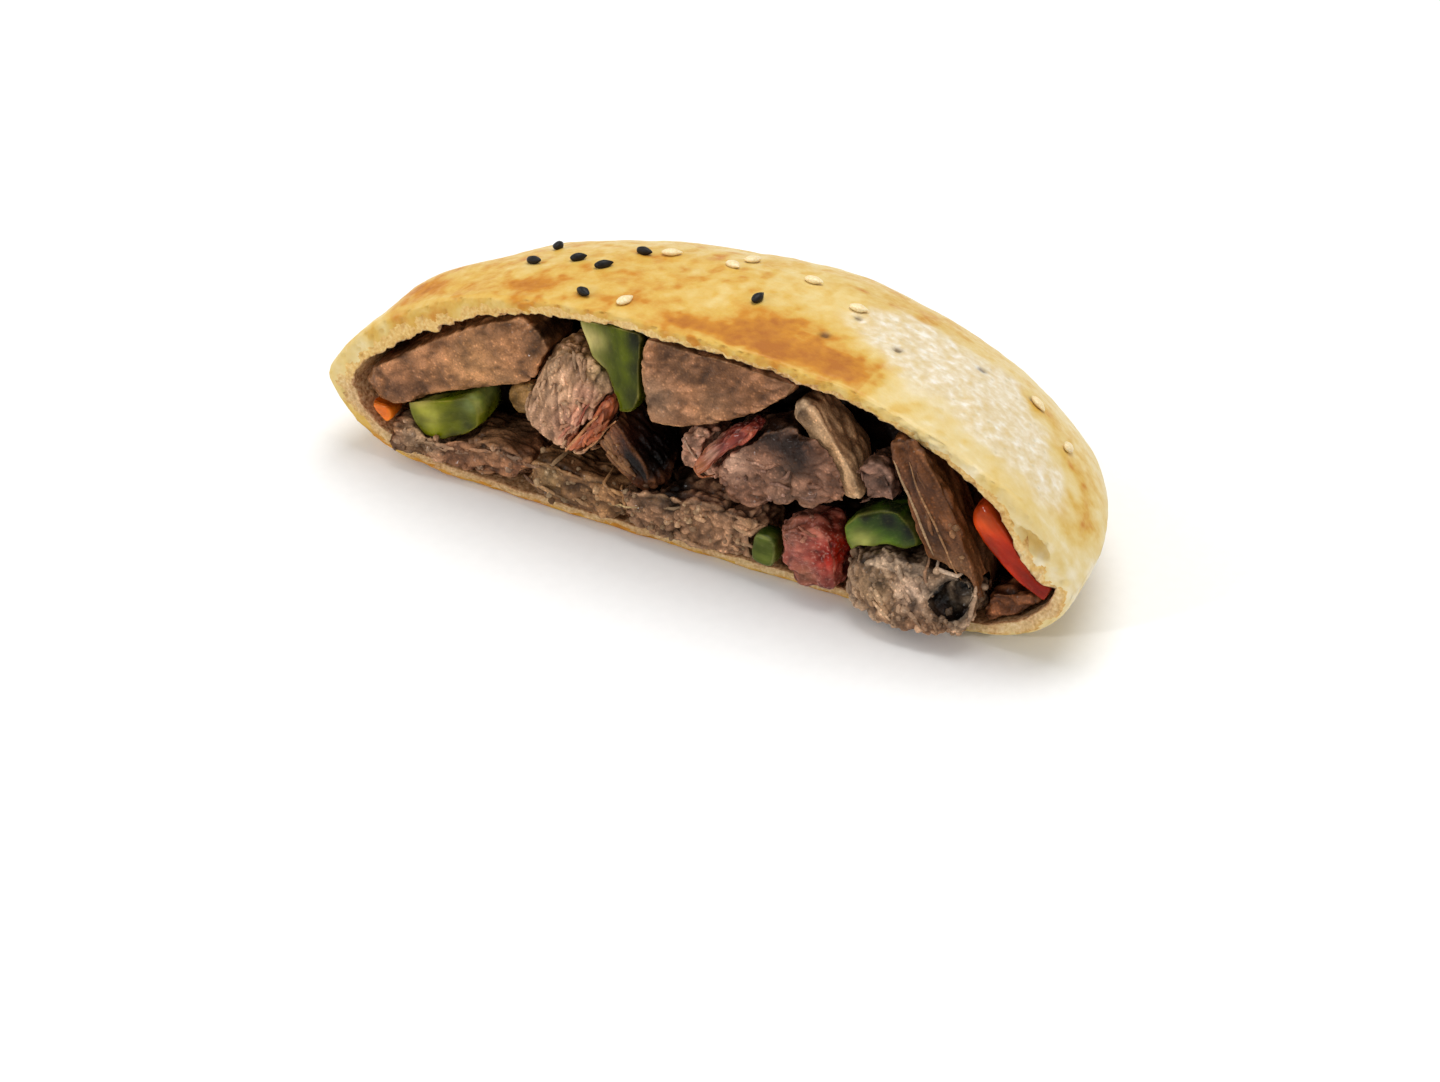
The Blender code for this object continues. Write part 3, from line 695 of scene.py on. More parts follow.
@dataclass(frozen=True)
class PieForm:
    """The pie's outer form and the pocket that its walls leave, in the pie's plan."""

    half_width: float = 0.0606
    half_depth: float = 0.0520
    rim_height: float = 0.0128
    rim_lean: float = 0.0003
    top_rise: float = 0.0246
    plan_fullness: float = 2.14
    top_crown: float = 3.0
    top_shoulder: float = 0.87
    base_crown: float = 8.0
    base_shoulder: float = 0.68
    base_shave: float = 0.0002
    cut_to_origin: float = 0.0220
    top_wall: float = 0.0020
    base_wall: float = 0.0018
    left_wall: float = 0.0048
    right_wall: float = 0.0030
    back_wall: float = 0.0060
    nib_length: float = 0.0014
    nib_spread: float = 0.07
    swell_fade: float = 6.0
    skin_wave: float = 0.00035
    skin_wave_length: float = 0.011
    # The dome's uneven places, and those of the pocket's roof: across, back, two radii and rise
    swells: tuple = (
        (-0.0525, 0.008, 0.010, 0.010, 0.0050),
        (-0.037, 0.020, 0.012, 0.012, 0.0008),
        (-0.050, -0.001, 0.008, 0.008, -0.0020),
        (0.034, 0.020, 0.014, 0.014, -0.0008),
        (0.010, 0.030, 0.012, 0.012, 0.0007),
        (-0.012, 0.038, 0.010, 0.010, -0.0006),
        (0.0545, -0.002, 0.007, 0.007, 0.0040),
    )
    sags: tuple = ((0.0530, 0.000, 0.0040, 0.0090, -0.0056),)

    def plan_radius(self, angle: float) -> float:
        """Works out where the rim is, seen from above.

        Args:
            angle: A direction from the middle of the plan.

        Returns:
            The distance to the rim in that direction.
        """
        across = abs(math.cos(angle) / self.half_width) ** self.plan_fullness
        back = abs(math.sin(angle) / self.half_depth) ** self.plan_fullness
        nib = self.nib_length * math.exp(-(((math.pi - abs(angle)) / self.nib_spread) ** 2))
        return (across + back) ** (-1 / self.plan_fullness) + nib

    def rim_wall(self, angle: float) -> float:
        """Works out how thick the closed rim is.

        Args:
            angle: A direction from the middle of the plan.

        Returns:
            The rim's thickness in that direction.
        """
        side = self.left_wall if math.cos(angle) < 0 else self.right_wall
        share = math.cos(angle) ** 2
        return side * share + self.back_wall * (1 - share)

    @staticmethod
    def bumps(x: float, y: float, places: tuple) -> float:
        """Sums soft bumps at a point of the plan.

        Args:
            x: Place across.
            y: Place behind the cut.
            places: The bumps: across, back, two radii and rise.

        Returns:
            Their rise there.
        """
        return sum(
            rise * math.exp(-(((x - across) / wide) ** 2) - ((y - back) / deep) ** 2)
            for across, back, wide, deep, rise in places
        )

    def swell(self, x: float, y: float) -> float:
        """Rise of the dome's uneven places over its smooth form."""
        wave = noise.noise(Vector((x, y, 0.0)) / self.skin_wave_length)
        return self.skin_wave * wave + self.bumps(x, y, self.swells)

    def point(self, turn: float, polar: float, pocket: bool = False) -> tuple[float, float, float]:
        """A point of the skin, or of the pocket inside it.

        Args:
            turn: Angle round the cut, from the right end over the top.
            polar: Angle from the back of the pie, a quarter turn at the cut.
            pocket: Whether the point is on the pocket that the walls leave.

        Returns:
            The point in the pie's plan.
        """
        east = math.cos(turn) * math.sin(polar)
        north = math.cos(polar)
        angle = math.atan2(north, east)
        share = min(1.0, math.hypot(east, north))
        reach = self.plan_radius(angle) - (self.rim_wall(angle) if pocket else 0.0)
        x = reach * share * math.cos(angle)
        y = reach * share * math.sin(angle)
        rim = self.rim_height + self.rim_lean * x / self.half_width
        if math.sin(turn) >= 0:
            rise = self.top_rise - (self.top_wall if pocket else 0.0)
            z = rim + rise * (1 - share**self.top_crown) ** self.top_shoulder
            z += self.swell(x, y) * (1 - share**self.swell_fade)
            if pocket:
                z = max(rim, z + self.bumps(x, y, self.sags))
            return x, y, z
        drop = rim - (self.base_wall if pocket else 0.0)
        z = rim - drop * (1 - share**self.base_crown) ** self.base_shoulder
        if not pocket:
            z = max(0.0, z - self.base_shave * (1 - share))
        return x, y, z

    def height(self, x: float, y: float) -> float:
        """Works out how high the top skin is.

        Args:
            x: Place across.
            y: Place behind the cut.

        Returns:
            The skin's height over that point of the plan.
        """
        just_inside = 0.999
        angle = math.atan2(y, x)
        share = min(just_inside, math.hypot(x, y) / self.plan_radius(angle))
        east, north = share * math.cos(angle), share * math.sin(angle)
        polar = math.acos(north)
        return self.point(math.acos(max(-1.0, min(1.0, east / math.sin(polar)))), polar)[2]


@dataclass(frozen=True)
class BakeMarks:
    """Where the crust was baked hard, dusted pale with a painted highlight, or scorched, in the pie's plan.

    Heat is a place on the crust's ramp of colours, from 0 to 1.
    """

    plain_heat: float = 0.46
    mottle: Layers = ((9.0, 0.10, 11.0), (3.0, 0.14, 7.0), (1.5, 0.10, 12.0))
    dome: tuple[float, float] = (0.010, 0.017)
    # The browner strip along the cut: its middle and reach behind the cut, and its right end
    strip: tuple[float, float, float] = (0.003, 0.008, 0.026)
    strip_heat: float = 0.12
    # The cooler right side, and the coolest place at its front
    cooler_right: tuple[float, float] = (-0.010, 0.020)
    cooler_by: float = 0.10
    coolest_right: tuple[float, float] = (0.026, 0.034)
    coolest_front: tuple[float, float] = (0.010, 0.020)
    coolest_by: float = 0.12
    # Brown spots on the dome, where their noise rises through a span
    spot_width: float = 2.4 * MM
    spot_span: tuple[float, float] = (0.12, 0.48)
    spot_heat: float = 0.14
    # Above this, heat rises much more slowly
    hottest: float = 0.90
    over_hottest: float = 0.35
    # Flecks, which show from this much heat
    fleck_width: float = 1.1 * MM
    fleck_span: tuple[float, float] = (0.6, 0.8)
    fleck_heat: float = 0.12
    # The side at the right end, across and in height, with upright streaks
    side_across: tuple[float, float] = (0.046, 0.056)
    side_height: tuple[float, float] = (0.026, 0.032)
    side_heat: float = 0.03
    streak_width: float = 1.6 * MM
    streak_squeeze: float = 0.25
    streak_heat: float = 0.20
    # The browner underside and its mottle
    under_height: tuple[float, float] = (0.0005, 0.0080)
    under_mottle: Layers = ((6.0, 0.14, 31.0),)
    under_heat: float = 0.16
    # The pale band round the rim: its height and reach, how its height wanders, how level the
    # skin may be there, and how much cooler it is
    band: tuple[float, float] = (0.012, 0.0050)
    band_wander: float = 1.6 * MM
    band_wander_length: float = 7.0 * MM
    band_level: tuple[float, float] = (0.6, 0.95)
    band_cooler: float = 0.16
    # Heat marks on the dome: across, back, two radii and how much darker
    marks: tuple = (
        (-0.0475, 0.0054, 0.0050, 0.0022, 0.26),
        (-0.0290, 0.0045, 0.0034, 0.0020, 0.26),
        (-0.0020, 0.0030, 0.0040, 0.0022, 0.40),
        (0.0070, 0.0042, 0.0056, 0.0038, 0.52),
        (0.0080, 0.0100, 0.0060, 0.0040, 0.24),
        (0.0140, 0.0036, 0.0060, 0.0034, 0.36),
        (0.0150, 0.0115, 0.0060, 0.0036, 0.20),
        (0.0208, 0.0052, 0.0040, 0.0034, 0.40),
        (0.0240, 0.0030, 0.0050, 0.0026, 0.26),
        (0.0255, 0.0080, 0.0036, 0.0026, 0.16),
        (0.0180, 0.0280, 0.0110, 0.0070, 0.20),
        (0.0440, 0.0255, 0.0030, 0.0026, 0.20),
        (0.0530, 0.0195, 0.0034, 0.0034, 0.24),
        (0.0575, 0.0110, 0.0024, 0.0050, 0.40),
        (-0.0150, 0.0160, 0.0180, 0.0090, 0.10),
        (-0.0400, 0.0160, 0.0120, 0.0100, 0.08),
        (-0.0560, 0.0000, 0.0050, 0.0050, -0.18),
        (-0.0180, 0.0440, 0.0090, 0.0060, 0.30),
        (0.0220, 0.0420, 0.0110, 0.0050, 0.26),
        (-0.0450, 0.0300, 0.0060, 0.0050, 0.24),
    )
    # The pale patch, a dusting with a painted highlight: places across, where it starts and ends
    # behind the cut there, its two ends across, the heights that it starts at, and how its edge
    # wanders, in millimetres
    patch_across: tuple = (0.0130, 0.0170, 0.0270, 0.0370, 0.0450, 0.0540)
    patch_start: tuple = (0.0160, 0.0150, 0.0094, 0.0062, 0.0046, 0.0046)
    patch_end: tuple = (0.0180, 0.0235, 0.0275, 0.0290, 0.0225, 0.0120)
    patch_left: tuple[float, float] = (0.0130, 0.0200)
    patch_right: tuple[float, float] = (0.0510, 0.0570)
    patch_height: tuple[float, float] = (0.0120, 0.0170)
    patch_wander: Layers = ((4.5, 2.2, 3.0), (1.8, 1.6, 5.0))
    patch_edge: tuple[float, float] = (-1.6 * MM, 3.2 * MM)
    # Small scorched dots: across, back and radius, and the height that they lie above
    dots: tuple = (
        (0.0160, 0.0105, 0.0007),
        (0.0254, 0.0149, 0.0006),
        (0.0347, 0.0232, 0.0006),
        (0.0175, 0.0180, 0.0005),
        (0.0415, 0.0265, 0.0005),
        (-0.0390, 0.0290, 0.0006),
        (0.0050, 0.0380, 0.0006),
    )
    dot_height: float = 0.014

    def flour_and_sheen(self, places: np.ndarray) -> np.ndarray:
        """Works out where the pale patch lies: a dusting, with a painted highlight.

        Args:
            places: The points.

        Returns:
            How much of the patch each has, from 0 to 1.
        """
        x, y, z = places.T
        start = np.interp(x, self.patch_across, self.patch_start)
        end = np.interp(x, self.patch_across, self.patch_end)
        inside = np.minimum(y - start, end - y) + layered(places, self.patch_wander) * MM
        ends = window(x, self.patch_left, self.patch_right)
        return step_up(inside, *self.patch_edge) * ends * step_up(z, *self.patch_height)

    def heat(self, places: np.ndarray, normals: np.ndarray) -> np.ndarray:
        """Works out how strongly the skin was baked.

        Args:
            places: The points.
            normals: Their normals.

        Returns:
            The heat of each.
        """
        x, y, z = places.T
        dome = step_up(z, *self.dome)
        value = layered(places, self.mottle, self.plain_heat)
        middle, reach, end = self.strip
        value += self.strip_heat * hump((y - middle) / reach) * (x < end)
        coolest = step_up(x, *self.coolest_right) * (1 - step_up(y, *self.coolest_front))
        value -= self.cooler_by * step_up(x, *self.cooler_right) + self.coolest_by * coolest
        value += self.spot_heat * step_up(smooth(places, self.spot_width, 15.0), *self.spot_span) * dome
        for across, back, wide, deep, more in self.marks:
            value += more * hump((x - across) / wide, (y - back) / deep) * dome
        eased = self.hottest + self.over_hottest * (value - self.hottest)
        value = np.where(value > self.hottest, eased, value)
        flecks = smooth(places, self.fleck_width, 16.0)
        value += self.fleck_heat * flecks * step_up(value, *self.fleck_span)
        squeezed = places * np.array((1.0, 1.0, self.streak_squeeze))
        streaks = smooth(squeezed, self.streak_width, 21.0)
        side = step_up(x, *self.side_across) * (1 - step_up(z, *self.side_height))
        value += side * (self.side_heat + self.streak_heat * streaks)
        under = 1 - step_up(z, *self.under_height)
        value += under * layered(places, self.under_mottle, self.under_heat)
        level = z + self.band_wander * smooth(places, self.band_wander_length, 51.0)
        upright = 1 - step_up(np.abs(normals[:, 2]), *self.band_level)
        return value - self.band_cooler * hump((level - self.band[0]) / self.band[1]) * upright

    def scorched(self, places: np.ndarray) -> np.ndarray:
        """Works out where the small dark dots are.

        Args:
            places: The points.

        Returns:
            How scorched each is, from 0 to 1.
        """
        specks = np.zeros(len(places))
        for across, back, radius in self.dots:
            gap = np.hypot(places[:, 0] - across, places[:, 1] - back)
            specks = np.maximum(specks, np.clip(1.5 * hump(gap / radius), 0, 1))
        return specks * (places[:, 2] > self.dot_height)


@dataclass(frozen=True)
class BreadCrust:
    """The baked skin, the torn crumb along the cut and the pocket's wall, as one closed mesh."""

    form: PieForm
    bake: BakeMarks = BakeMarks()
    top_columns: int = 420
    base_columns: int = 120
    skin_rows: int = 112
    edge_rows: int = 14
    crumb_rows: int = 16
    pocket_rows: int = 18
    pocket_gather: float = 1.8
    # The rounded edge of the cut: how far it is laid out finely, its radius, and the most of the wall
    edge_reach: float = 2.2 * MM
    edge_round: float = 1.3 * MM
    edge_round_share: float = 0.46
    # The knife's path: how far it strays, over what length, in which slice of the noise
    ripple_depth: float = 0.5 * MM
    ripple_length: float = 4.7 * MM
    ripple_slice: float = 0.37
    ripple_reach: float = 4.0 * MM
    # The open air pocket in the right-hand lip: its middle, across and in height, its radii along
    # and into the lip and over it, and its turn in degrees
    air_middle: tuple[float, float] = (0.0540, 0.0194)
    air_radii: tuple[float, float, float] = (0.0013, 0.0022, 0.0031)
    air_turn: float = 50.0
    # Where it is deeper than this, its wall takes the stain's darker tones
    air_edge: float = 0.2 * MM
    # The underside below this height stays flat
    flat_height: float = 0.3 * MM
    skin_relief: Layers = ((4.6, 0.16, 2.0), (1.9, 0.07, 4.0), (0.9, 0.03, 6.0))
    skin_sink: float = 0.12
    dot_depth: float = 0.25 * MM
    teeth: Layers = ((1.7, 0.50, 23.0), (0.7, 0.30, 29.0))
    torn: Layers = ((1.3, 0.22, 13.0), (0.55, 0.16, 17.0))
    # Where the left lip is shaggy and where it hangs, measured to the left, and the heights above
    # which it does
    shaggy: tuple = ((0.014, 0.026), (0.044, 0.050), 0.020)
    hang: tuple = ((0.030, 0.038), (0.050, 0.055), 0.018)
    hang_length: float = 1.2
    # Tufts of the shaggy part, where their noise rises through a span, and their length
    tuft_width: float = 2.2 * MM
    tuft_span: tuple[float, float] = (0.0, 0.4)
    tuft_length: float = 0.9
    # The fringe reaches this far into the pocket
    fringe_reach: float = 1.2 * MM
    # Holes in the torn crumb, in the middle of its grains: width, where they start and depth
    hole_width: float = 1.2 * MM
    hole_from: float = 0.86
    hole_depth: float = 3.0
    # How much of the lip's width the baked skin covers: over the rim, more at its right and left,
    # and under it, more at its left, with an uneven edge
    cover_over: tuple[float, float, float] = (0.50, 0.22, 0.20)
    cover_under: tuple[float, float] = (0.30, 0.15)
    cover_uneven: float = 0.34
    cover_wave: float = 1.8 * MM
    # Toast of the crumb: everywhere, over the rim, under it, and at the skin's end, where it fades
    toast: tuple[float, float, float] = (0.05, 0.65, 0.35)
    toast_end: float = 0.9
    toast_fade: float = 3.0
    # Gravy in the crumb: everywhere, under the rim, towards the filling, and low at the left
    wet: tuple[float, float, float, float] = (-0.05, 0.40, 0.15, 0.20)
    # The pocket's wall takes the stain's tones: partly gravy, partly painted shade
    pocket_gravy_and_shade: float = 0.85
    air_pocket_dark: float = 0.6
    # A wet place in the upper lip: its middle and reach across, and how wet it is
    wet_place: tuple[float, float] = (0.018, 0.007)
    wet_place_share: float = 0.55
    # How strongly the pale patch with its painted highlight, and the scorched dots, colour the skin
    flour_sheen_share: float = 0.95
    scorch_share: float = 0.8

    def ripple(self, places: np.ndarray) -> np.ndarray:
        """Works out how far the knife's path strays from its plane.

        Args:
            places: The points.

        Returns:
            The shift of each.
        """
        flat = places.copy()
        flat[:, 1] = self.ripple_slice
        return self.ripple_depth * smooth(flat, self.ripple_length)

    def walls(self) -> tuple[np.ndarray, np.ndarray]:
        """Lays out the smooth skin and the pocket in rows across, the pocket's from the cut inwards.

        Returns:
            The skin's points and the pocket's, as rows by columns by three.
        """
        form = self.form
        turns = np.concatenate([
            even_steps(count + 1, start, start + math.pi, lambda turn: form.point(turn, QUARTER))[:-1]
            for count, start in ((self.top_columns, 0.0), (self.base_columns, math.pi))
        ])
        near = QUARTER - math.asin(self.edge_reach / form.half_depth)
        far = even_steps(self.skin_rows + 1, 0.0, near, lambda polar: form.point(QUARTER, polar))
        polars = np.concatenate((far[1:], np.linspace(near, QUARTER, self.edge_rows + 1)[1:]))
        inner = np.linspace(0.0, 1.0, self.pocket_rows + 1)[:-1] ** self.pocket_gather * QUARTER
        skin = [[form.point(turn, polar) for turn in turns] for polar in polars]
        pocket = [[form.point(turn, polar, pocket=True) for turn in turns] for polar in QUARTER - inner]
        return np.array(skin), np.array(pocket)

    def grid(self) -> tuple[np.ndarray, np.ndarray, np.ndarray]:
        """Lays out the rows of points, from the back over the skin, across the cut and back inside.

        Returns:
            The points as rows by columns by three, each row's zone, and each row's share of the way
            over its zone.
        """
        skin, pocket = self.walls()
        edge = skin[-1].copy()
        wall = pocket[0] - edge
        width = np.linalg.norm(wall, axis=1)
        inward = wall / width[:, None]
        rounding = np.minimum(self.edge_round, self.edge_round_share * width)
        turned = np.clip(0.5 - 0.5 * skin[:, :, 1] / rounding, 0, 0.5) * QUARTER
        reach = hump(skin[:, :, 1] / self.ripple_reach)
        skin[:, :, 1] = np.where(turned > 0, (1 - np.sin(turned)) * rounding, skin[:, :, 1])
        skin += ((1 - np.cos(turned)) * rounding)[:, :, None] * inward
        skin[:, :, 1] += reach * self.ripple(edge)
        pocket[:, :, 1] += hump(pocket[:, :, 1] / self.ripple_reach) * self.ripple(pocket[0])
        shares = np.linspace(0.0, 1.0, self.crumb_rows + 1)[1:-1]
        cut = np.array([edge + wall * share for share in shares])
        for row, share in zip(cut, shares):
            ripple = self.ripple(row)
            turned = np.clip(0.5 + 0.5 * share * width / rounding, 0, 1) * QUARTER
            shift = (1 - np.cos(turned)) * rounding - share * width
            row += np.where(turned < QUARTER, shift, 0.0)[:, None] * inward
            row[:, 1] = ripple + (1 - np.sin(turned)) * rounding
        zones = np.repeat(list(Zone), (len(skin), len(cut), len(pocket)))
        along = np.concatenate((np.linspace(0, 1, len(skin)), shares, np.linspace(0, 1, len(pocket))))
        return np.concatenate((skin, cut, pocket)), zones, along

    def skin_end(self, edge: np.ndarray) -> np.ndarray:
        """Works out how far over the cut the baked skin runs.

        Args:
            edge: The points of the cut's outer edge.

        Returns:
            The end of the skin above each, as a share of the wall's width.
        """
        x, z = edge[:, 0], edge[:, 2]
        plain, right, left = self.cover_over
        over = plain + right * step_up(x, -0.012, 0.008) + left * step_up(-x, 0.016, 0.034)
        plain, left = self.cover_under
        under = plain + left * step_up(-x, 0.0, 0.020)
        uneven = self.cover_uneven * smooth(edge, self.cover_wave, 41.0)
        return np.where(z > self.form.rim_height, over, under) + uneven

    def mesh(self, rows: np.ndarray, crumb: np.ndarray) -> Mesh:
        """Joins the rows into a closed mesh with a point at the back of the skin and the pocket.

        Args:
            rows: The points, rows by columns by three.
            crumb: Which of the points are crumb rather than skin, rows by columns.

        Returns:
            The mesh, its crumb faces in the second material.
        """
        count, columns = rows.shape[:2]
        points = [*rows.reshape(-1, 3).tolist(), rows[0].mean(axis=0), rows[-1].mean(axis=0)]
        ring = [(column, (column + 1) % columns) for column in range(columns)]
        faces = []
        slots = []
        for row in range(count - 1):
            start = row * columns
            for a, b in ring:
                faces.append((start + a, start + b, start + b + columns, start + a + columns))
                slots.append(int(crumb[row + 1, a]))
        start = (count - 1) * columns
        back, inside = len(points) - 2, len(points) - 1
        for a, b in ring:
            faces += [(back, b, a), (inside, start + a, start + b)]
            slots += [0, 1]
        mesh = bpy.data.meshes.new("baked_crust")
        mesh.from_pydata(points, [], faces)
        mesh.polygons.foreach_set("material_index", slots)
        mesh.update()
        return mesh

    def skin_shift(self, places: np.ndarray, flour_and_sheen: np.ndarray) -> np.ndarray:
        """Works out the skin's small relief, with blisters in the pale patch.

        Args:
            places: The points.
            flour_and_sheen: How much of the pale patch each has.

        Returns:
            How far each lies over the smooth form, in metres.
        """
        blisters = grains(places, 1.5 * MM, 8.0) * 0.16 + 0.10 * smooth(places, 1.1 * MM, 9.0)
        relief = layered(places, self.skin_relief) + flour_and_sheen * (blisters - 0.08)
        return (relief - self.skin_sink) * MM * (places[:, 2] > self.flat_height)

    def air_pocket(self, places: np.ndarray) -> np.ndarray:
        """Works out the open air pocket in the cut.

        Args:
            places: The points.

        Returns:
            The pocket's depth at each, in metres.
        """
        turn = math.radians(self.air_turn)
        across = places[:, 0] - self.air_middle[0]
        up = places[:, 2] - self.air_middle[1]
        along = across * math.cos(turn) + up * math.sin(turn)
        rise = -across * math.sin(turn) + up * math.cos(turn)
        square = (along / self.air_radii[0]) ** 2 + (rise / self.air_radii[2]) ** 2
        return self.air_radii[1] * np.sqrt(np.clip(1.0 - square, 0.0, 1.0))

    def fringe(self, places: np.ndarray, near: np.ndarray) -> np.ndarray:
        """Moves the crumb's inner edge in and out, in small teeth and a few soft tufts.

        Args:
            places: The points.
            near: How close each point is to the inner edge, from 0 to 1.

        Returns:
            The shift of each point, in the plane of the cut.
        """
        aim = np.array((0.0, 0.0, self.form.rim_height)) - places
        aim[:, 1] = 0.0
        aim /= np.linalg.norm(aim, axis=1)[:, None] + 1e-9
        left, z = -places[:, 0], places[:, 2]
        shaggy, hang = (
            window(left, rise, fall) * (z > above) for rise, fall, above in (self.shaggy, self.hang)
        )
        tufts = step_up(smooth(places, self.tuft_width, 37.0), *self.tuft_span) * shaggy
        shift = aim * (near * (layered(places, self.teeth) + self.tuft_length * tufts) * MM)[:, None]
        shift[:, 2] -= near * hang * self.hang_length * MM
        return shift

    def crumb_state(
        self, places: np.ndarray, share: np.ndarray, zone: np.ndarray, beyond: np.ndarray, air: np.ndarray
    ) -> tuple[np.ndarray, np.ndarray]:
        """Works out where the crumb is toasted and where it takes the stain's tones: gravy, and painted
        shade in the pocket.

        Args:
            places: The points.
            share: How far each is over its zone.
            zone: Its zone.
            beyond: How far it is past the end of the baked skin.
            air: How deep the air pocket is there.

        Returns:
            How toasted and how wet each is, about 0 to 1.
        """
        x, z = places[:, 0], places[:, 2]
        cut = zone == Zone.CUT
        low = step_up(self.form.rim_height - z, -0.002, 0.004)
        browner = 0.25 * step_up(x, -0.012, 0.006) + 0.40 * step_up(-x, 0.014, 0.026)
        over = (0.75 + browner) * (1 - low) * (1 - step_up(x, 0.050, 0.054))
        plain, high, deep = self.toast
        toast = plain + high * over + deep * low * (1 - step_up(share, 0.1, 0.6) * cut)
        at_end = self.toast_end - self.toast_fade * np.maximum(beyond, 0)
        toast = np.maximum(toast, cut * at_end)
        plain, deep, inwards, left = self.wet
        wet = plain + deep * low + inwards * step_up(share, 0.45, 1.0) * cut
        wet += left * low * step_up(-x, -0.020, 0.010)
        wet += self.pocket_gravy_and_shade * (zone == Zone.POCKET) + self.air_pocket_dark * (air > self.air_edge)
        middle, reach = self.wet_place
        wet += self.wet_place_share * hump((x - middle) / reach) * (1 - low)
        return toast, wet

    def build(self) -> Object:
        """Makes the crust, its relief and its marks.

        Returns:
            The crust's object.
        """
        rows, zones, along = self.grid()
        columns = rows.shape[1]
        beyond = along[:, None] - self.skin_end(rows[zones == Zone.SKIN][-1])
        bared = (zones == Zone.CUT)[:, None] & (beyond > 0)
        mesh = self.mesh(rows, (zones == Zone.POCKET)[:, None] | bared)
        # The last two points are those at the back of the skin and of the pocket
        beyond = np.concatenate((beyond.ravel(), (0.0, 1.0)))
        zone = np.concatenate((np.repeat(zones, columns), (Zone.SKIN, Zone.POCKET)))
        share = np.concatenate((np.repeat(along, columns), (0.0, 1.0)))
        places, normals = mesh_arrays(mesh)
        skin, cut, pocket = (zone == kind for kind in Zone)
        flour_and_sheen = self.bake.flour_and_sheen(places) * skin
        scorched = self.bake.scorched(places) * skin
        shift = self.skin_shift(places, flour_and_sheen) * (1 - 0.5 * step_up(share, 0.93, 1.0)) * skin
        moved = places + normals * (shift - self.dot_depth * scorched)[:, None]
        air = self.air_pocket(places)
        holes = np.clip(grains(places, self.hole_width, 19.0) - self.hole_from, 0, 1) * self.hole_depth
        moved[:, 1] += cut * ((layered(places, self.torn) + holes) * MM + air)
        just_in = pocket * hump(places[:, 1] / self.fringe_reach)
        moved += self.fringe(places, just_in + cut * step_up(share, 0.5, 1.0))
        moved[:, 1] -= self.form.cut_to_origin
        set_places(mesh, moved)
        toast, wet = self.crumb_state(places, share, zone, beyond, air)
        store(mesh, "bake", self.bake.heat(places, normals))
        # The pale patch: partly a dusting, partly a painted highlight
        store(mesh, "pale", flour_and_sheen * self.flour_sheen_share)
        store(mesh, "speck", scorched * self.scorch_share)
        store(mesh, "toast", toast)
        store(mesh, "wet", wet)
        piece = new_piece("baked_crust", mesh, CRUST.material(), CRUMB.material())
        return set_out(piece, ("crust",))


# The filling


@dataclass(frozen=True)
class Texture:
    """How a food's surface breaks up: a width and a depth for each kind of relief, in millimetres."""

    lump: tuple[float, float]
    fibre: tuple[float, float]
    crack: tuple[float, float]
    bead: tuple[float, float]
    stretch: float
    ridge_gain: float = 2.2
    # How narrow a crack is in its noise, how much wider its gaps are, and where they are
    crack_narrow: float = 0.11
    crack_gap: float = 1.6
    crack_span: tuple[float, float] = (-0.15, 0.25)
    # What each relief is measured from, so that the surface stays about the form's size
    lump_middle: float = 0.35
    fibre_middle: float = 0.6
    bead_middle: float = 0.8

    def relief(self, places: np.ndarray, grain: np.ndarray, seed: float) -> tuple:
        """Works out the relief at each point.

        Args:
            places: The points.
            grain: The points squeezed along the grain.
            seed: Shifts the noise, so that pieces differ.

        Returns:
            The height over the form in metres, how far each point is on a ridge and how far in a
            cavity, both from 0 to 1; the colours darken the cavities as painted shade.
        """
        ridge = np.clip(self.ridge_gain * np.abs(smooth(grain, self.fibre[0] * MM, seed + 2)), 0, 1)
        line = hump(smooth(grain, self.crack[0] * MM, seed + 4) / self.crack_narrow)
        gaps = smooth(places, self.crack_gap * self.crack[0] * MM, seed + 6)
        line *= step_up(gaps, *self.crack_span)
        beads = grains(places, self.bead[0] * MM, seed + 8)
        height = self.lump[1] * (smooth(places, self.lump[0] * MM, seed) - self.lump_middle)
        fibres = self.fibre[1] * (ridge - self.fibre_middle)
        height += fibres + self.bead[1] * (beads - self.bead_middle) - self.crack[1] * line
        # How deep in a crack, a fibre's groove or between beads: the colours darken it as painted shade
        cavity_shade = line * min(1.0, 2 * self.crack[1]) + np.clip(0.5 - ridge, 0, 1) * 4 * self.fibre[1]
        cavity_shade += np.clip(0.75 - beads, 0, 1) * 3 * self.bead[1]
        return height * MM, ridge, np.clip(cavity_shade, 0, 1)


SLICE = Texture((4.5, 0.34), (1.4, 0.14), (5.0, 0.35), (1.0, 0.12), 1.6)
SHREDDED = Texture((3.2, 0.60), (1.3, 0.42), (3.0, 0.80), (1.1, 0.18), 2.4)
STRANDY = Texture((3.4, 0.45), (1.0, 0.40), (2.8, 0.60), (0.9, 0.06), 4.0)
CRUMBLY = Texture((2.8, 0.65), (1.3, 0.35), (2.6, 0.90), (1.3, 0.50), 1.3)
MEMBRANE = Texture((4.0, 0.40), (1.3, 0.22), (5.0, 0.40), (0.9, 0.06), 3.0)
FLESH = Texture((3.0, 0.14), (1.4, 0.04), (9.0, 0.00), (0.9, 0.02), 2.0)
TORN = Texture((3.4, 0.90), (1.2, 0.40), (2.8, 0.95), (1.3, 0.28), 1.7)
PULP = Texture((3.0, 0.75), (1.2, 0.20), (2.6, 0.40), (0.8, 0.16), 1.5)
RAGGED = Texture((3.4, 0.60), (1.2, 0.30), (3.0, 0.70), (1.0, 0.20), 2.0)
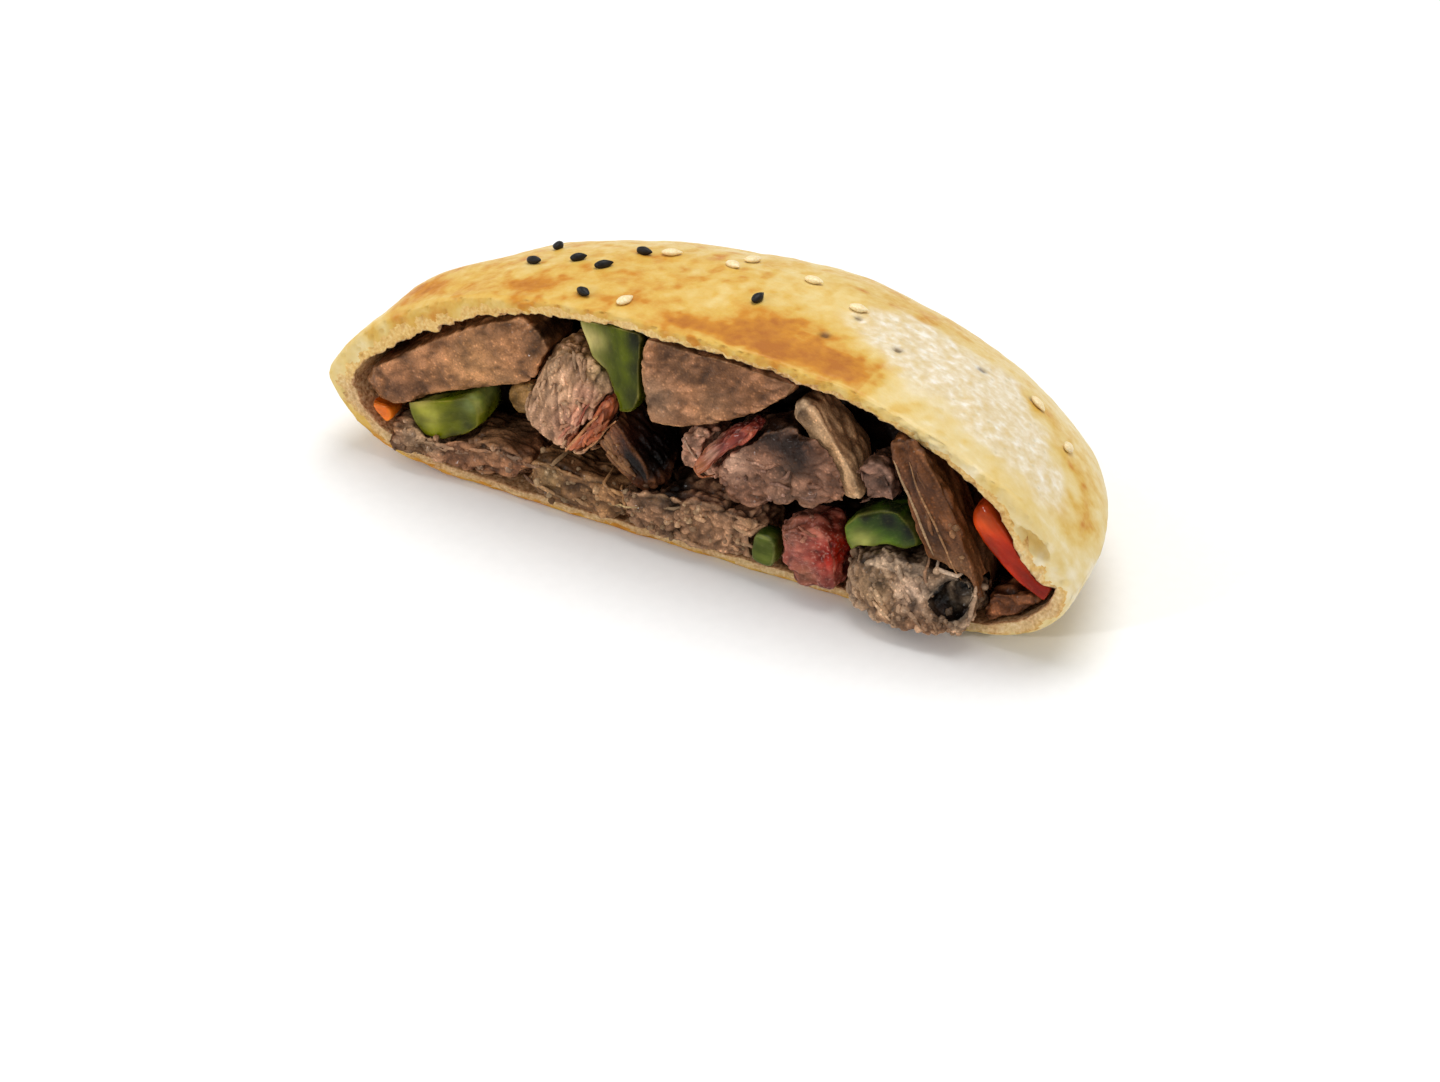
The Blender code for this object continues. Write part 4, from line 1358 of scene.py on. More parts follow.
PACKED = Texture((5.0, 0.80), (2.0, 0.50), (5.0, 1.00), (2.4, 0.80), 1.4)


@dataclass(frozen=True)
class FillingPiece:
    """One piece of the filling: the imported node's form with the grain and tone of the food."""

    node: str
    food: Food
    texture: Texture
    # Hex colours of the cut face, of what faces up (darker, partly painted shade), of the cut face's
    # edge (a painted highlight) and of the fibres (partly painted light on their ridges)
    tones: str
    # The grain's direction in the plane of the cut, in degrees
    turn: float = 0.0
    # Stained places and painted light and shade: across, height and radius in millimetres, colour and
    # strength
    stains_and_painted_light: tuple = ()
    cell: float = 0.34 * MM
    shade: float = 1.0
    contrast: float = 0.6
    # Where the cut is, and how far behind it the piece darkens as painted shade
    front: float = -0.022
    shade_depth: tuple[float, float] = (0.003, 0.011)
    depth_shade_share: float = 0.8
    # How much the cavities darken, as painted shade
    cavity_shade_share: float = 0.6
    mottle_width: float = 2.4 * MM
    # The painted highlight on the edge of the cut face: the part that the normal has towards the front,
    # its reach and share
    lit_edge_facing: float = 0.62
    edge_reach: float = 0.16
    lit_edge_share: float = 0.75

    def rounded(self) -> Mesh:
        """Copies the node's mesh finely, with its facets rounded off.

        Returns:
            The new mesh.
        """
        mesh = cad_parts[self.node].data.copy()
        mesh.materials.clear()
        copy = bpy.data.objects.new("rounding", mesh)
        bpy.context.scene.collection.objects.link(copy)
        remesh = copy.modifiers.new("remesh", "REMESH")
        remesh.mode = "VOXEL"
        remesh.voxel_size = self.cell
        soften = copy.modifiers.new("soften", "SMOOTH")
        soften.factor = 0.5
        soften.iterations = 9
        graph = bpy.context.evaluated_depsgraph_get()
        fine = bpy.data.meshes.new_from_object(copy.evaluated_get(graph))
        bpy.data.objects.remove(copy, do_unlink=True)
        bpy.data.meshes.remove(mesh)
        fine.name = self.node
        return fine

    def grain_places(self, places: np.ndarray) -> np.ndarray:
        """Turns the points to the grain and squeezes them along it, so that noise runs along it.

        Args:
            places: The points.

        Returns:
            The new places, one row each.
        """
        angle = math.radians(self.turn)
        along = places[:, 0] * math.cos(angle) + places[:, 2] * math.sin(angle)
        over = -places[:, 0] * math.sin(angle) + places[:, 2] * math.cos(angle)
        return np.column_stack((along / self.texture.stretch, places[:, 1], over))

    def colours(
        self,
        places: np.ndarray,
        normals: np.ndarray,
        ridge: np.ndarray,
        cavity_shade: np.ndarray,
        mottle: np.ndarray,
    ) -> np.ndarray:
        """Works out the colour of each point.

        Args:
            places: The points.
            normals: Their normals.
            ridge: How far each is on a ridge.
            cavity_shade: How far each is in a cavity, which the colour darkens as painted shade.
            mottle: Broad noise.

        Returns:
            Linear red, green and blue, one row each.
        """
        face, top, rim, fibre_ridge_light = (colour(code) for code in self.tones.split())
        front = step_up(-normals[:, 1], 0.25, 0.75)
        # What faces up turns to the second, darker tone: partly the outer surface's own colour, partly
        # painted shade
        up = step_up(normals[:, 2] + 0.25 * mottle, 0.25, 0.8) * (1 - front * 0.6)
        tone = blend(np.tile(face, (len(places), 1)), top, up)
        # Paler fibres on the raised ridges: partly their own colour, partly painted light on the ridges
        tone = blend(tone, fibre_ridge_light, step_up(ridge + 0.4 * mottle, 0.45, 0.95) * 0.55)
        # Real stains, and spots of painted shade and painted highlight
        for across, height, radius, code, strength in self.stains_and_painted_light:
            gap = np.hypot(places[:, 0] / MM - across, places[:, 2] / MM - height)
            share = hump((gap + 0.8 * mottle) / radius) * strength
            tone = blend(tone, colour(code), np.clip(share, 0, 1))
        # A painted highlight along the rounded edge of the cut face
        edge = hump((-normals[:, 1] - self.lit_edge_facing) / self.edge_reach) * (0.6 + 0.4 * mottle)
        tone = blend(tone, rim, np.clip(edge * self.lit_edge_share, 0, 1))
        # Painted shade behind the cut, where the filling lies in the pie's shadow
        deep = step_up(places[:, 1] - self.front, *self.shade_depth)
        # Painted shade in the cavities, on top of the food's own mottle
        dim = self.shade * (1 + self.contrast * mottle) * (1 - self.cavity_shade_share * cavity_shade)
        return np.clip(tone * (dim * (1 - self.depth_shade_share * deep))[:, None], 0, 1)

    def build(self, number: int) -> Object:
        """Makes the piece.

        Args:
            number: Its place in the filling, which shifts its noise.

        Returns:
            The piece's object.
        """
        mesh = self.rounded()
        places, normals = mesh_arrays(mesh)
        grain = self.grain_places(places)
        seed = 5.3 * number + 1.0
        height, ridge, cavity_shade = self.texture.relief(places, grain, seed)
        mottle = smooth(grain, self.mottle_width, seed + 9)
        store(mesh, "tone", self.colours(places, normals, ridge, cavity_shade, mottle), Stored.COLOUR)
        store(mesh, "along", grain, Stored.PLACE)
        set_places(mesh, places + normals * height[:, None])
        piece = new_piece(self.node + "_food", mesh, FINISHES[self.food].material())
        return set_out(piece, (self.node,))


@dataclass(frozen=True)
class Filling:
    """Every piece of the filling that shows at the cut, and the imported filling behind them."""

    pieces: tuple[FillingPiece, ...] = (
        FillingPiece("liver_left_slab", Food.LIVER, SLICE, "A77248 623B1D DCA375 D29364", 29, (
            (-49.0, 14.0, 5.0, "845739", 0.8), (-36.0, 21.5, 5.0, "BE8A58", 0.7),
            (-30.0, 18.0, 3.0, "C79262", 0.7), (-43.0, 25.0, 4.0, "734426", 0.6),
            # The first spot on this line, near black, is painted shade where a gap lies by the pepper
            (-23.5, 30.5, 3.2, "160A05", 1.3), (-31.0, 30.5, 3.2, "5A3A20", 0.8),
        )),
        FillingPiece("liver_centre_slab", Food.LIVER, SLICE, "986642 643F25 DCAA7A C58C66", 18, (
            (-6.0, 25.0, 3.6, "B48A68", 0.9), (6.0, 33.5, 5.0, "70482A", 0.8),
            (3.0, 26.0, 3.0, "A87C58", 0.6), (-1.5, 32.0, 3.6, "5E3E24", 0.8),
        )),
        FillingPiece("liver_centre_left", Food.LIVER, STRANDY, "B48862 A2784E EEC294 EABA98", 78, (
            (-22.0, 22.0, 2.8, "E4B48C", 0.8), (-18.5, 17.0, 3.4, "D4937A", 0.8),
            (-25.0, 26.0, 2.6, "C49468", 0.6), (-16.5, 23.0, 2.2, "BE8068", 0.6),
            (-20.5, 13.5, 2.6, "E2A482", 0.7), (-24.5, 14.5, 2.2, "CC9C7C", 0.7),
            (-15.0, 27.0, 1.8, "7C6A34", 0.8),
        )),
        FillingPiece("liver_centre_right", Food.LIVER, RAGGED, "865A42 3C2615 B48566 AC7C62", 24, (
            # The four dark spots on these two lines are painted shade over its top and the gap by the strip
            (13.5, 23.5, 2.4, "3A2216", 0.9), (12.5, 26.0, 3.0, "2A180E", 1.1),
            (17.5, 24.5, 3.6, "22120A", 1.3), (17.5, 20.8, 2.0, "3A2414", 0.8),
            (7.0, 18.8, 2.8, "D4A68A", 1.0), (16.0, 16.5, 4.2, "9A725A", 0.8),
        )),
        FillingPiece("liver_long_right", Food.LIVER, MEMBRANE, "683B1A 4A2810 B0764C 8E5A38", -68, (
            (37.0, 26.0, 3.4, "4A2A16", 0.7), (40.0, 17.5, 2.6, "4A301C", 0.7),
            (42.5, 12.0, 3.0, "A87A56", 0.8),
        )),
        FillingPiece("liver_pink_bit", Food.LIVER, RAGGED, "84604E 5C4232 B48A74 A47862", 25),
        FillingPiece("liver_cream_strip", Food.LIVER, MEMBRANE, "BE9268 7A5236 F0C89C E2B486", -56, (
            (20.8, 28.0, 2.0, "D2AA80", 0.7), (24.0, 22.5, 2.4, "DDB488", 0.7),
            # The two dark spots on this line are painted shade along the strip's left edge
            (17.4, 31.5, 2.4, "34200F", 1.0), (17.8, 26.6, 1.8, "54381F", 0.8),
        )),
        FillingPiece("liver_pale_middle", Food.LIVER, CRUMBLY, "C08D70 A16E54 F2BE9B EBAC8E"),
        FillingPiece("liver_low_middle", Food.LIVER, STRANDY, "70402A 442214 AE7046 94603E", -52, (
            (-14.0, 15.0, 2.4, "A87850", 0.8), (-12.5, 11.0, 2.2, "A87850", 0.8),
            # The two dark spots at its right are painted shade in the gap there; the pale ones are its own
            # colour
            (-14.5, 8.5, 2.2, "B88660", 0.8), (-8.0, 13.6, 3.6, "0A0402", 1.5),
            (-9.5, 17.5, 2.6, "2C120C", 0.8),
        )),
        FillingPiece("liver_low_left", Food.LIVER, SHREDDED, "85563A 6A422A C69264 B47C56", 6, (
            (-42.0, 8.0, 5.0, "A27150", 0.5), (-34.0, 8.5, 4.0, "B98960", 0.5),
            (-45.5, 6.5, 3.4, "DCB48C", 0.9),
        )),
        FillingPiece("liver_band_left", Food.LIVER, SHREDDED, "8D6440 6B482D CFA06D BC8B5D", -2, (
            (-23.0, 6.5, 2.0, "BB9665", 0.7),
        )),
        FillingPiece("liver_band_middle", Food.LIVER, CRUMBLY, "9C7252 76503A DAAC80 CE9C76", 3, (
            # A near-black spot of painted shade, in the gap beside it
            (-3.4, 10.2, 2.6, "1E120A", 1.1),
        )),
        FillingPiece("liver_low_right", Food.LIVER, TORN, "AF8562 604430 F0CEAC E8C29E", -58, (
            (32.0, 8.0, 3.0, "A08460", 0.6), (40.0, 1.5, 3.6, "A87250", 0.7),
            # The three dark spots along its top edge are painted shadow under the pepper, and the black one
            # in its hole is painted shade
            (38.0, 9.0, 2.4, "E4C2A6", 0.8), (31.0, 12.5, 2.2, "2E2014", 1.0),
            (35.0, 13.0, 2.2, "2A1C12", 1.1), (39.0, 13.5, 2.0, "3A2A1A", 0.9),
            (43.6, 8.8, 2.5, "050201", 3.0),
        ), contrast=0.8),
        FillingPiece("liver_far_right", Food.LIVER, SHREDDED, "6A3D22 4E2914 A66E43 995F3C", 25),
        FillingPiece("liver_shadow_left", Food.LIVER, MEMBRANE, "96703E 75522C C4985E BC8E58", 20),
        FillingPiece("green_pepper_left", Food.GREEN_PEPPER, FLESH, "5C6002 445004 948A30 6A6A08", 24, (
            # Painted light and shade: the pale spots are highlights, the dark ones shade at its right and
            # low down
            (-45.4, 13.4, 1.8, "C4B060", 1.0), (-43.6, 10.4, 1.8, "A8A440", 0.9),
            (-36.4, 15.0, 1.4, "909C58", 0.9), (-38.6, 15.2, 1.6, "3C4204", 0.8),
            (-37.0, 11.0, 2.2, "242804", 1.0), (-39.5, 8.0, 2.0, "2C2804", 0.9),
        )),
        FillingPiece("green_pepper_middle", Food.GREEN_PEPPER, FLESH, "4A5200 343A01 A89C52 565E00", -82, (
            # Partly painted light and shade: the pale spots down its left are its paler cut edge with a
            # painted highlight, the dark ones at its right painted shade
            (-19.0, 31.0, 2.8, "BCAC70", 1.2), (-16.2, 31.5, 1.7, "BCAC68", 1.1),
            (-15.8, 27.2, 1.5, "B0A45C", 1.1), (-14.2, 23.5, 1.2, "847C38", 0.8),
            (-8.6, 34.0, 2.3, "1C2000", 1.1), (-8.6, 29.0, 2.1, "282C02", 1.0),
            (-9.4, 24.0, 2.4, "2A2C02", 0.9),
        )),
        FillingPiece("green_pepper_right", Food.GREEN_PEPPER, FLESH, "38540A 142006 807E34 466408", 32, (
            # Painted light and shade: the pale spots low down are highlights, the dark ones along its top
            # shade
            (28.6, 12.4, 2.2, "A0A050", 1.0), (32.4, 12.0, 1.8, "868C40", 0.9),
            (36.0, 12.6, 1.8, "6C6A30", 0.8), (36.6, 17.0, 2.6, "10180A", 1.1),
            (28.6, 17.0, 2.0, "161A06", 1.1), (32.4, 17.6, 2.4, "101606", 1.1),
        )),
        FillingPiece("green_pepper_bit", Food.GREEN_PEPPER, FLESH, "444E14 2A380C 86884C 586024"),
        FillingPiece("orange_pepper_left", Food.ORANGE_PEPPER, FLESH, "E26C0D C85A0A EB9031 EE7E1A"),
        FillingPiece("red_pepper_right", Food.RED_PEPPER, FLESH, "A42208 6E1004 B83C12 AC2C0C", -41, (
            (46.5, 21.0, 2.8, "C24A16", 0.9), (55.0, 12.5, 3.5, "6E1206", 0.8),
        )),
        FillingPiece("tomato_chunk", Food.TOMATO, PULP, "96463A 702C1E B8745F B06854", 12, (
            (25.0, 9.5, 2.6, "A8200E", 1.2), (16.5, 11.5, 3.4, "9A6650", 0.7),
            (20.0, 5.0, 2.0, "A87052", 0.6),
        )),
        FillingPiece("tomato_shred_left", Food.TOMATO, STRANDY, "AC5834 8E3C24 D08860 C47450", 58),
        FillingPiece("tomato_shred_right", Food.TOMATO, STRANDY, "84342A 601C18 B8684C 9A4632", 47, (
            (4.2, 20.0, 1.6, "C89478", 0.8), (2.6, 17.0, 1.8, "BC7448", 0.9),
        )),
        # The filling behind the pieces: its near-black tones and half shade are painted shade in the gaps
        # between them
        FillingPiece(
            "filling_core", Food.CORE, PACKED, "3A2418 22140C 4A3020 4A3022",
            cell=0.9 * MM, shade=0.5, front=-0.018,
        ),
    )

    def build(self) -> list[Object]:
        """Makes every piece, in order."""
        return [piece.build(number) for number, piece in enumerate(self.pieces)]


# Loose bits on the cut


@dataclass(frozen=True)
class Patch:
    """A place on the cut that is strewn with bits. Lengths in millimetres, angles in degrees."""

    across: tuple[float, float]
    height: tuple[float, float]
    crumbs: int
    strands: int
    heading: tuple[float, float]
    tone: str


@dataclass(frozen=True)
class Bit:
    """One crumb or strand: its points, its faces and its tone."""

    points: np.ndarray
    faces: list[tuple[int, ...]]
    tone: np.ndarray


class CutSurface:
    """The surfaces of the filling's pieces as one, to lay bits on from the front."""

    # Where the looks start, in front of the cut, and how far back a bit may lie
    start: float = -0.06
    deepest: float = -0.0125

    def __init__(self, pieces: list[Object]) -> None:
        """Joins the pieces' surfaces, with each face's tone. Nothing lies on the peppers.

        Args:
            pieces: The filling's pieces.
        """
        points, faces, tones, bare = [], [], [], []
        for piece in pieces:
            mesh = piece.data
            tone = np.empty(len(mesh.vertices) * 4)
            mesh.attributes["tone"].data.foreach_get("color", tone)
            tone = tone.reshape(-1, 4)[:, :3]
            base = len(points)
            corners = [tuple(polygon.vertices) for polygon in mesh.polygons]
            points += mesh_arrays(mesh)[0].tolist()
            faces += [tuple(base + corner for corner in face) for face in corners]
            tones += [tone[face[0]] for face in corners]
            bare += ["pepper" in piece.name] * len(corners)
        self.tree = BVHTree.FromPolygons(points, faces)
        self.tones = tones
        self.bare = bare

    def hit(self, x: float, z: float) -> tuple[Vector, Vector, np.ndarray] | None:
        """Looks at the filling from the front.

        Args:
            x: Place across.
            z: Height.

        Returns:
            The place that shows there, its normal and its tone, or nothing where no bit may lie.
        """
        place, normal, face, _ = self.tree.ray_cast(Vector((x, self.start, z)), Vector((0, 1, 0)))
        if place is None or place.y > self.deepest or self.bare[face]:
            return None
        return place, normal, self.tones[face]


@dataclass(frozen=True)
class Scraps:
    """Crumbs and torn strands of the filling, lying on the pieces at the cut."""

    seed: int = 11
    # Crumbs: their size in millimetres, how few are large, how deep they lie for their size, how
    # rough they are and how closely their lumps lie
    crumb_size: tuple[float, float] = (0.6, 1.7)
    crumb_few_large: float = 2.2
    crumb_sunk: float = 0.08
    crumb_rough: float = 0.45
    crumb_lumps: float = 2.6
    # Strands: their length and width in millimetres
    strand_length: tuple[float, float] = (1.6, 3.8)
    strand_width: tuple[float, float] = (0.45, 0.90)
    strand_step: float = 0.3 * MM
    strand_sides: int = 7
    strand_wave: float = 0.28 * MM
    # A strand lies only where this share of it has something under it
    strand_held: float = 0.7
    # How thick a strand is for its width
    strand_flat: float = 0.7
    # How much the strands that stand out take of the tone of what they lie on
    marked_local: float = 0.15
    patches: tuple[Patch, ...] = (
        Patch((31, 41), (3, 14), 60, 8, (-80, -30), "C8A484"),
        Patch((41, 47), (2, 6), 24, 3, (-80, -30), "B89678"),
        Patch((-28, 12), (1, 10), 150, 22, (-25, 30), "B89C78"),
        Patch((-50, -27), (2, 9), 70, 14, (-10, 25), "B8987C"),
        Patch((-27, -15), (14, 27), 20, 22, (65, 105), "D4AE88"),
        Patch((-22, -14), (12, 18), 0, 14, (45, 80), "D08C64"),
        Patch((-18, -11), (8, 16), 10, 14, (-70, -35), "C4905E"),
        Patch((-2, 24), (14, 20), 24, 8, (0, 60), "B48C7C"),
        Patch((24, 50), (8, 28), 16, 3, (-80, -50), "A07C58"),
        Patch((18, 27), (11, 16), 18, 10, (-35, 35), "B08468"),
    )
    # Strands that stand out, in millimetres: from and to (across, height), width and tone
    marked: tuple = (
        (-20.2, 12.0, -14.3, 20.4, 0.55, "C08050"),
        (-17.5, 12.3, -12.2, 19.2, 0.50, "C88A58"),
        (-19.6, 14.2, -16.2, 21.4, 0.40, "8A3020"),
        (-21.5, 13.4, -18.6, 17.6, 0.45, "C4765C"),
        (1.5, 21.6, 8.6, 22.6, 0.95, "4C160E"),
        (1.1, 17.4, 3.6, 14.4, 0.50, "B0602F"),
        (-1.4, 19.4, 0.8, 14.8, 0.40, "C09C80"),
        (33.6, 28.6, 40.0, 14.0, 0.50, "B89670"),
        (35.8, 28.8, 43.8, 11.0, 0.40, "A07650"),
        (-13.0, 5.0, -7.5, 6.9, 0.35, "C0A474"),
        (38.6, 12.6, 44.8, 11.4, 0.80, "D8BA9E"),
        (46.2, 10.6, 46.0, 4.6, 0.80, "C8A688"),
    )

    def grain(self, random: np.random.Generator) -> tuple[np.ndarray, list[tuple[int, ...]]]:
        """Makes one rough grain, a unit wide.

        Args:
            random: The source of its form.

        Returns:
            Its points and faces.
        """
        bm = bmesh.new()
        bmesh.ops.create_icosphere(bm, subdivisions=2, radius=0.5)
        shift = Vector(random.uniform(-50, 50, 3))
        squash = random.uniform(0.6, 1.0, 3)
        points = [
            np.array(vertex.co)
            * squash
            * (1 + self.crumb_rough * noise.noise(vertex.co * self.crumb_lumps + shift))
            for vertex in bm.verts
        ]
        faces = [tuple(vertex.index for vertex in face.verts) for face in bm.faces]
        bm.free()
        return np.array(points), faces

    def tube(self, path: np.ndarray, width: float) -> tuple[np.ndarray, list[tuple[int, ...]]]:
        """Makes a closed strand along a path, thin at both ends.

        Args:
            path: The points along its middle.
            width: Its width in metres.

        Returns:
            Its points and faces.
        """
        count, sides = len(path), self.strand_sides
        points = []
        for number, middle in enumerate(path):
            ahead = path[min(number + 1, count - 1)] - path[max(number - 1, 0)]
            side = np.cross(ahead, (0.0, 1.0, 0.0))
            side /= np.linalg.norm(side) + 1e-12
            out = np.cross(side, ahead)
            out /= np.linalg.norm(out) + 1e-12
            slim = 0.25 + 0.75 * math.sin(math.pi * (number + 0.5) / count) ** 0.6
            for turn in np.arange(sides) * 2 * math.pi / sides:
                reach = side * math.cos(turn) + out * self.strand_flat * math.sin(turn)
                points.append(middle + reach * slim * width / 2)
        faces = [
            (start + a, start + b, start + b + sides, start + a + sides)
            for start in range(0, (count - 1) * sides, sides)
            for a, b in ((turn, (turn + 1) % sides) for turn in range(sides))
        ]
        faces += [tuple(range(sides))[::-1], tuple(range((count - 1) * sides, count * sides))]
        return np.array(points), faces

    def crumbs(self, surface: CutSurface, patch: Patch, random: np.random.Generator) -> list[Bit]:
        """Strews crumbs over a patch.

        Args:
            surface: What they lie on.
            patch: The patch.
            random: The source of their places and forms.

        Returns:
            The crumbs.
        """
        low, high = self.crumb_size
        made = []
        for _ in range(patch.crumbs):
            found = surface.hit(random.uniform(*patch.across) * MM, random.uniform(*patch.height) * MM)
            size = (low + (high - low) * random.random() ** self.crumb_few_large) * MM
            points, faces = self.grain(random)
            if found:
                place, normal, local = found
                middle = np.array(place - normal * size * self.crumb_sunk)
                mix = random.uniform(0.0, 0.6)
                tone = (local * (1 - mix) + colour(patch.tone) * mix) * random.uniform(0.7, 1.35)
                made.append(Bit(points * size + middle, faces, tone))
        return made

    def lay(
        self, surface: CutSurface, ends: tuple, width: float, tone: np.ndarray, local: float
    ) -> list[Bit]:
        """Lays one strand over the surface, bridging the gaps.

        Args:
            surface: What it lies on.
            ends: Where it starts and ends: across and height, in metres.
            width: Its width in metres.
            tone: Its own tone.
            local: How much it takes of the tone of what it lies on.

        Returns:
            The strand, or nothing where too little is under it.
        """
        x, z, end_x, end_z = ends
        count = max(5, round(math.hypot(end_x - x, end_z - z) / self.strand_step))
        shares = np.linspace(0, 1, count)
        start = Vector((x, z, 0)) * 3000
        wave = self.strand_wave * np.array([noise.noise(start + Vector((s * 3, 0, 0))) for s in shares])
        across = x + (end_x - x) * shares + wave
        heights = z + (end_z - z) * shares - wave
        found = [surface.hit(a, h) for a, h in zip(across, heights)]
        under = [one for one in found if one]
        if len(under) < self.strand_held * count:
            return []
        depths = np.interp(shares, [s for s, one in zip(shares, found) if one], [one[0].y for one in under])
        padded = np.pad(depths, 3, mode="edge")
        front = np.array([padded[i : i + 7].min() for i in range(count)])
        eased = np.convolve(np.pad(front, 2, mode="edge"), np.ones(5) / 5, mode="valid")
        path = np.column_stack((across, eased + 0.1 * width, heights))
        points, faces = self.tube(path, width)
        return [Bit(points, faces, under[0][2] * local * 1.25 + tone * (1 - local))]

    def strands(self, surface: CutSurface, patch: Patch, random: np.random.Generator) -> list[Bit]:
        """Strews torn strands over a patch.

        Args:
            surface: What they lie on.
            patch: The patch.
            random: The source of their places and forms.

        Returns:
            The strands.
        """
        made = []
        for _ in range(patch.strands):
            x, z = random.uniform(*patch.across) * MM, random.uniform(*patch.height) * MM
            angle = math.radians(random.uniform(*patch.heading))
            length = random.uniform(*self.strand_length) * MM
            width = random.uniform(*self.strand_width) * MM
            tone = colour(patch.tone) * random.uniform(0.5, 1.1)
            ends = (x, z, x + length * math.cos(angle), z + length * math.sin(angle))
            made += self.lay(surface, ends, width, tone, random.uniform(0.5, 0.9))
        return made

    @staticmethod
    def gather(name: str, bits: list[Bit]) -> Object:
        """Joins bits into one piece of liver.

        Args:
            name: The piece's name.
            bits: The bits.

        Returns:
            The piece.
        """
        points, faces, tones = [], [], []
        for bit in bits:
            base = len(points)
            points += bit.points.tolist()
            faces += [tuple(base + corner for corner in face) for face in bit.faces]
            tones += [bit.tone] * len(bit.points)
        mesh = bpy.data.meshes.new(name)
        mesh.from_pydata(points, [], faces)
        bm = bmesh.new()
        bm.from_mesh(mesh)
        bmesh.ops.recalc_face_normals(bm, faces=bm.faces)
        bm.to_mesh(mesh)
        bm.free()
        places = np.array(points)
        set_places(mesh, places)
        store(mesh, "tone", np.clip(np.array(tones), 0, 1), Stored.COLOUR)
        store(mesh, "along", places, Stored.PLACE)
        return set_out(new_piece(name, mesh, LIVER.material()))

    def build(self, pieces: list[Object]) -> tuple[Object, Object]:
        """Strews the bits over the pieces.

        Args:
            pieces: The filling's pieces.

        Returns:
            The crumbs and the strands.
        """
        surface = CutSurface(pieces)
        random = np.random.default_rng(self.seed)
        crumbs, strands = [], []
        for patch in self.patches:
            crumbs += self.crumbs(surface, patch, random)
            strands += self.strands(surface, patch, random)
        for *ends, width, code in self.marked:
            places = tuple(end * MM for end in ends)
            strands += self.lay(surface, places, width * MM, colour(code), self.marked_local)
        return self.gather("filling_crumbs", crumbs), self.gather("filling_strands", strands)


# The seeds


@dataclass(frozen=True)
class SeedKind:
    """One kind of seed, at every place where it lies on the crust."""

    name: str
    finish: Finish
    # Length, width and height
    size: tuple[float, float, float]
    # How much the seed narrows to its point, and how deep its three ridges are
    taper: float
    ridge: float
    # Seeds that the photo shows: across, behind the cut, and heading in degrees
    shown: tuple[tuple[float, float, float], ...]
    # Seeds on the back: across and behind the cut
    back: tuple[tuple[float, float], ...]
    back_heading_step: float = 67.0
    # How deep a seed sits for its height, and how much its length and wrinkles vary it
    sunk: float = 0.20
    vary: float = 0.06
    wrinkle_width: float = 0.5 * MM
    segments: int = 14
    rings: int = 10

    @staticmethod
    def seat(form: PieForm, x: float, y: float, heading: float) -> Matrix:
        """Works out the matrix that lays a seed on the skin.

        Args:
            form: The pie's form.
            x: Place across the pie.
            y: Place behind the cut.
            heading: Where its point is, in degrees from across.

        Returns:
            The matrix.
        """
        step = 0.5 * MM
        slope_x = (form.height(x + step, y) - form.height(x - step, y)) / (2 * step)
        slope_y = (form.height(x, y + step) - form.height(x, y - step)) / (2 * step)
        up = Vector((-slope_x, -slope_y, 1.0)).normalized()
        tilt = Vector((0.0, 0.0, 1.0)).rotation_difference(up).to_matrix().to_4x4()
        place = Matrix.Translation((x, y - form.cut_to_origin, form.height(x, y)))
        return place @ tilt @ Matrix.Rotation(math.radians(heading), 4, "Z")

    def shape(self, number: int) -> bmesh.types.BMesh:
        """Makes one drop-shaped seed, lying flat with its point along +X.

        Args:
            number: Its place in its kind, which varies it.

        Returns:
            The seed.
        """
        bm = bmesh.new()
        bmesh.ops.create_uvsphere(bm, u_segments=self.segments, v_segments=self.rings, radius=0.5)
        bmesh.ops.rotate(bm, verts=bm.verts, matrix=Matrix.Rotation(QUARTER, 3, "Y"))
        length, width, height = self.size
        longer = 1.0 + self.vary * math.sin(2.4 * number)
        for vertex in bm.verts:
            slim = 1.0 - self.taper * max(0.0, vertex.co.x * 2) ** 1.4
            around = math.atan2(vertex.co.z, vertex.co.y)
            ridge = 1.0 + self.ridge * math.cos(3 * around)
            vertex.co.x *= length * longer
            vertex.co.y *= width * slim * ridge
            vertex.co.z *= height * slim * ridge
            wrinkle = noise.noise(vertex.co / self.wrinkle_width + Vector((number, 0, 0)))
            vertex.co *= 1.0 + self.vary * wrinkle
        return bm

    def build(self, form: PieForm) -> Object:
        """Makes every seed of the kind as one mesh.

        Args:
            form: The pie's form, which the seeds lie on.

        Returns:
            The seeds' object.
        """
        behind = tuple((x, y, self.back_heading_step * n) for n, (x, y) in enumerate(self.back))
        lift = Matrix.Translation((0.0, 0.0, self.size[2] * (0.5 - self.sunk)))
        together = bmesh.new()
        for number, (x, y, heading) in enumerate(self.shown + behind):
            one = self.shape(number)
            one.transform(self.seat(form, x, y, heading) @ lift)
            mesh = bpy.data.meshes.new("one_seed")
            one.to_mesh(mesh)
            one.free()
            together.from_mesh(mesh)
            bpy.data.meshes.remove(mesh)
        bmesh.ops.recalc_face_normals(together, faces=together.faces)
        mesh = bpy.data.meshes.new(self.name)
        together.to_mesh(mesh)
        together.free()
        set_places(mesh, mesh_arrays(mesh)[0])
        return set_out(new_piece(self.name, mesh, self.finish.material()), ("crust",))


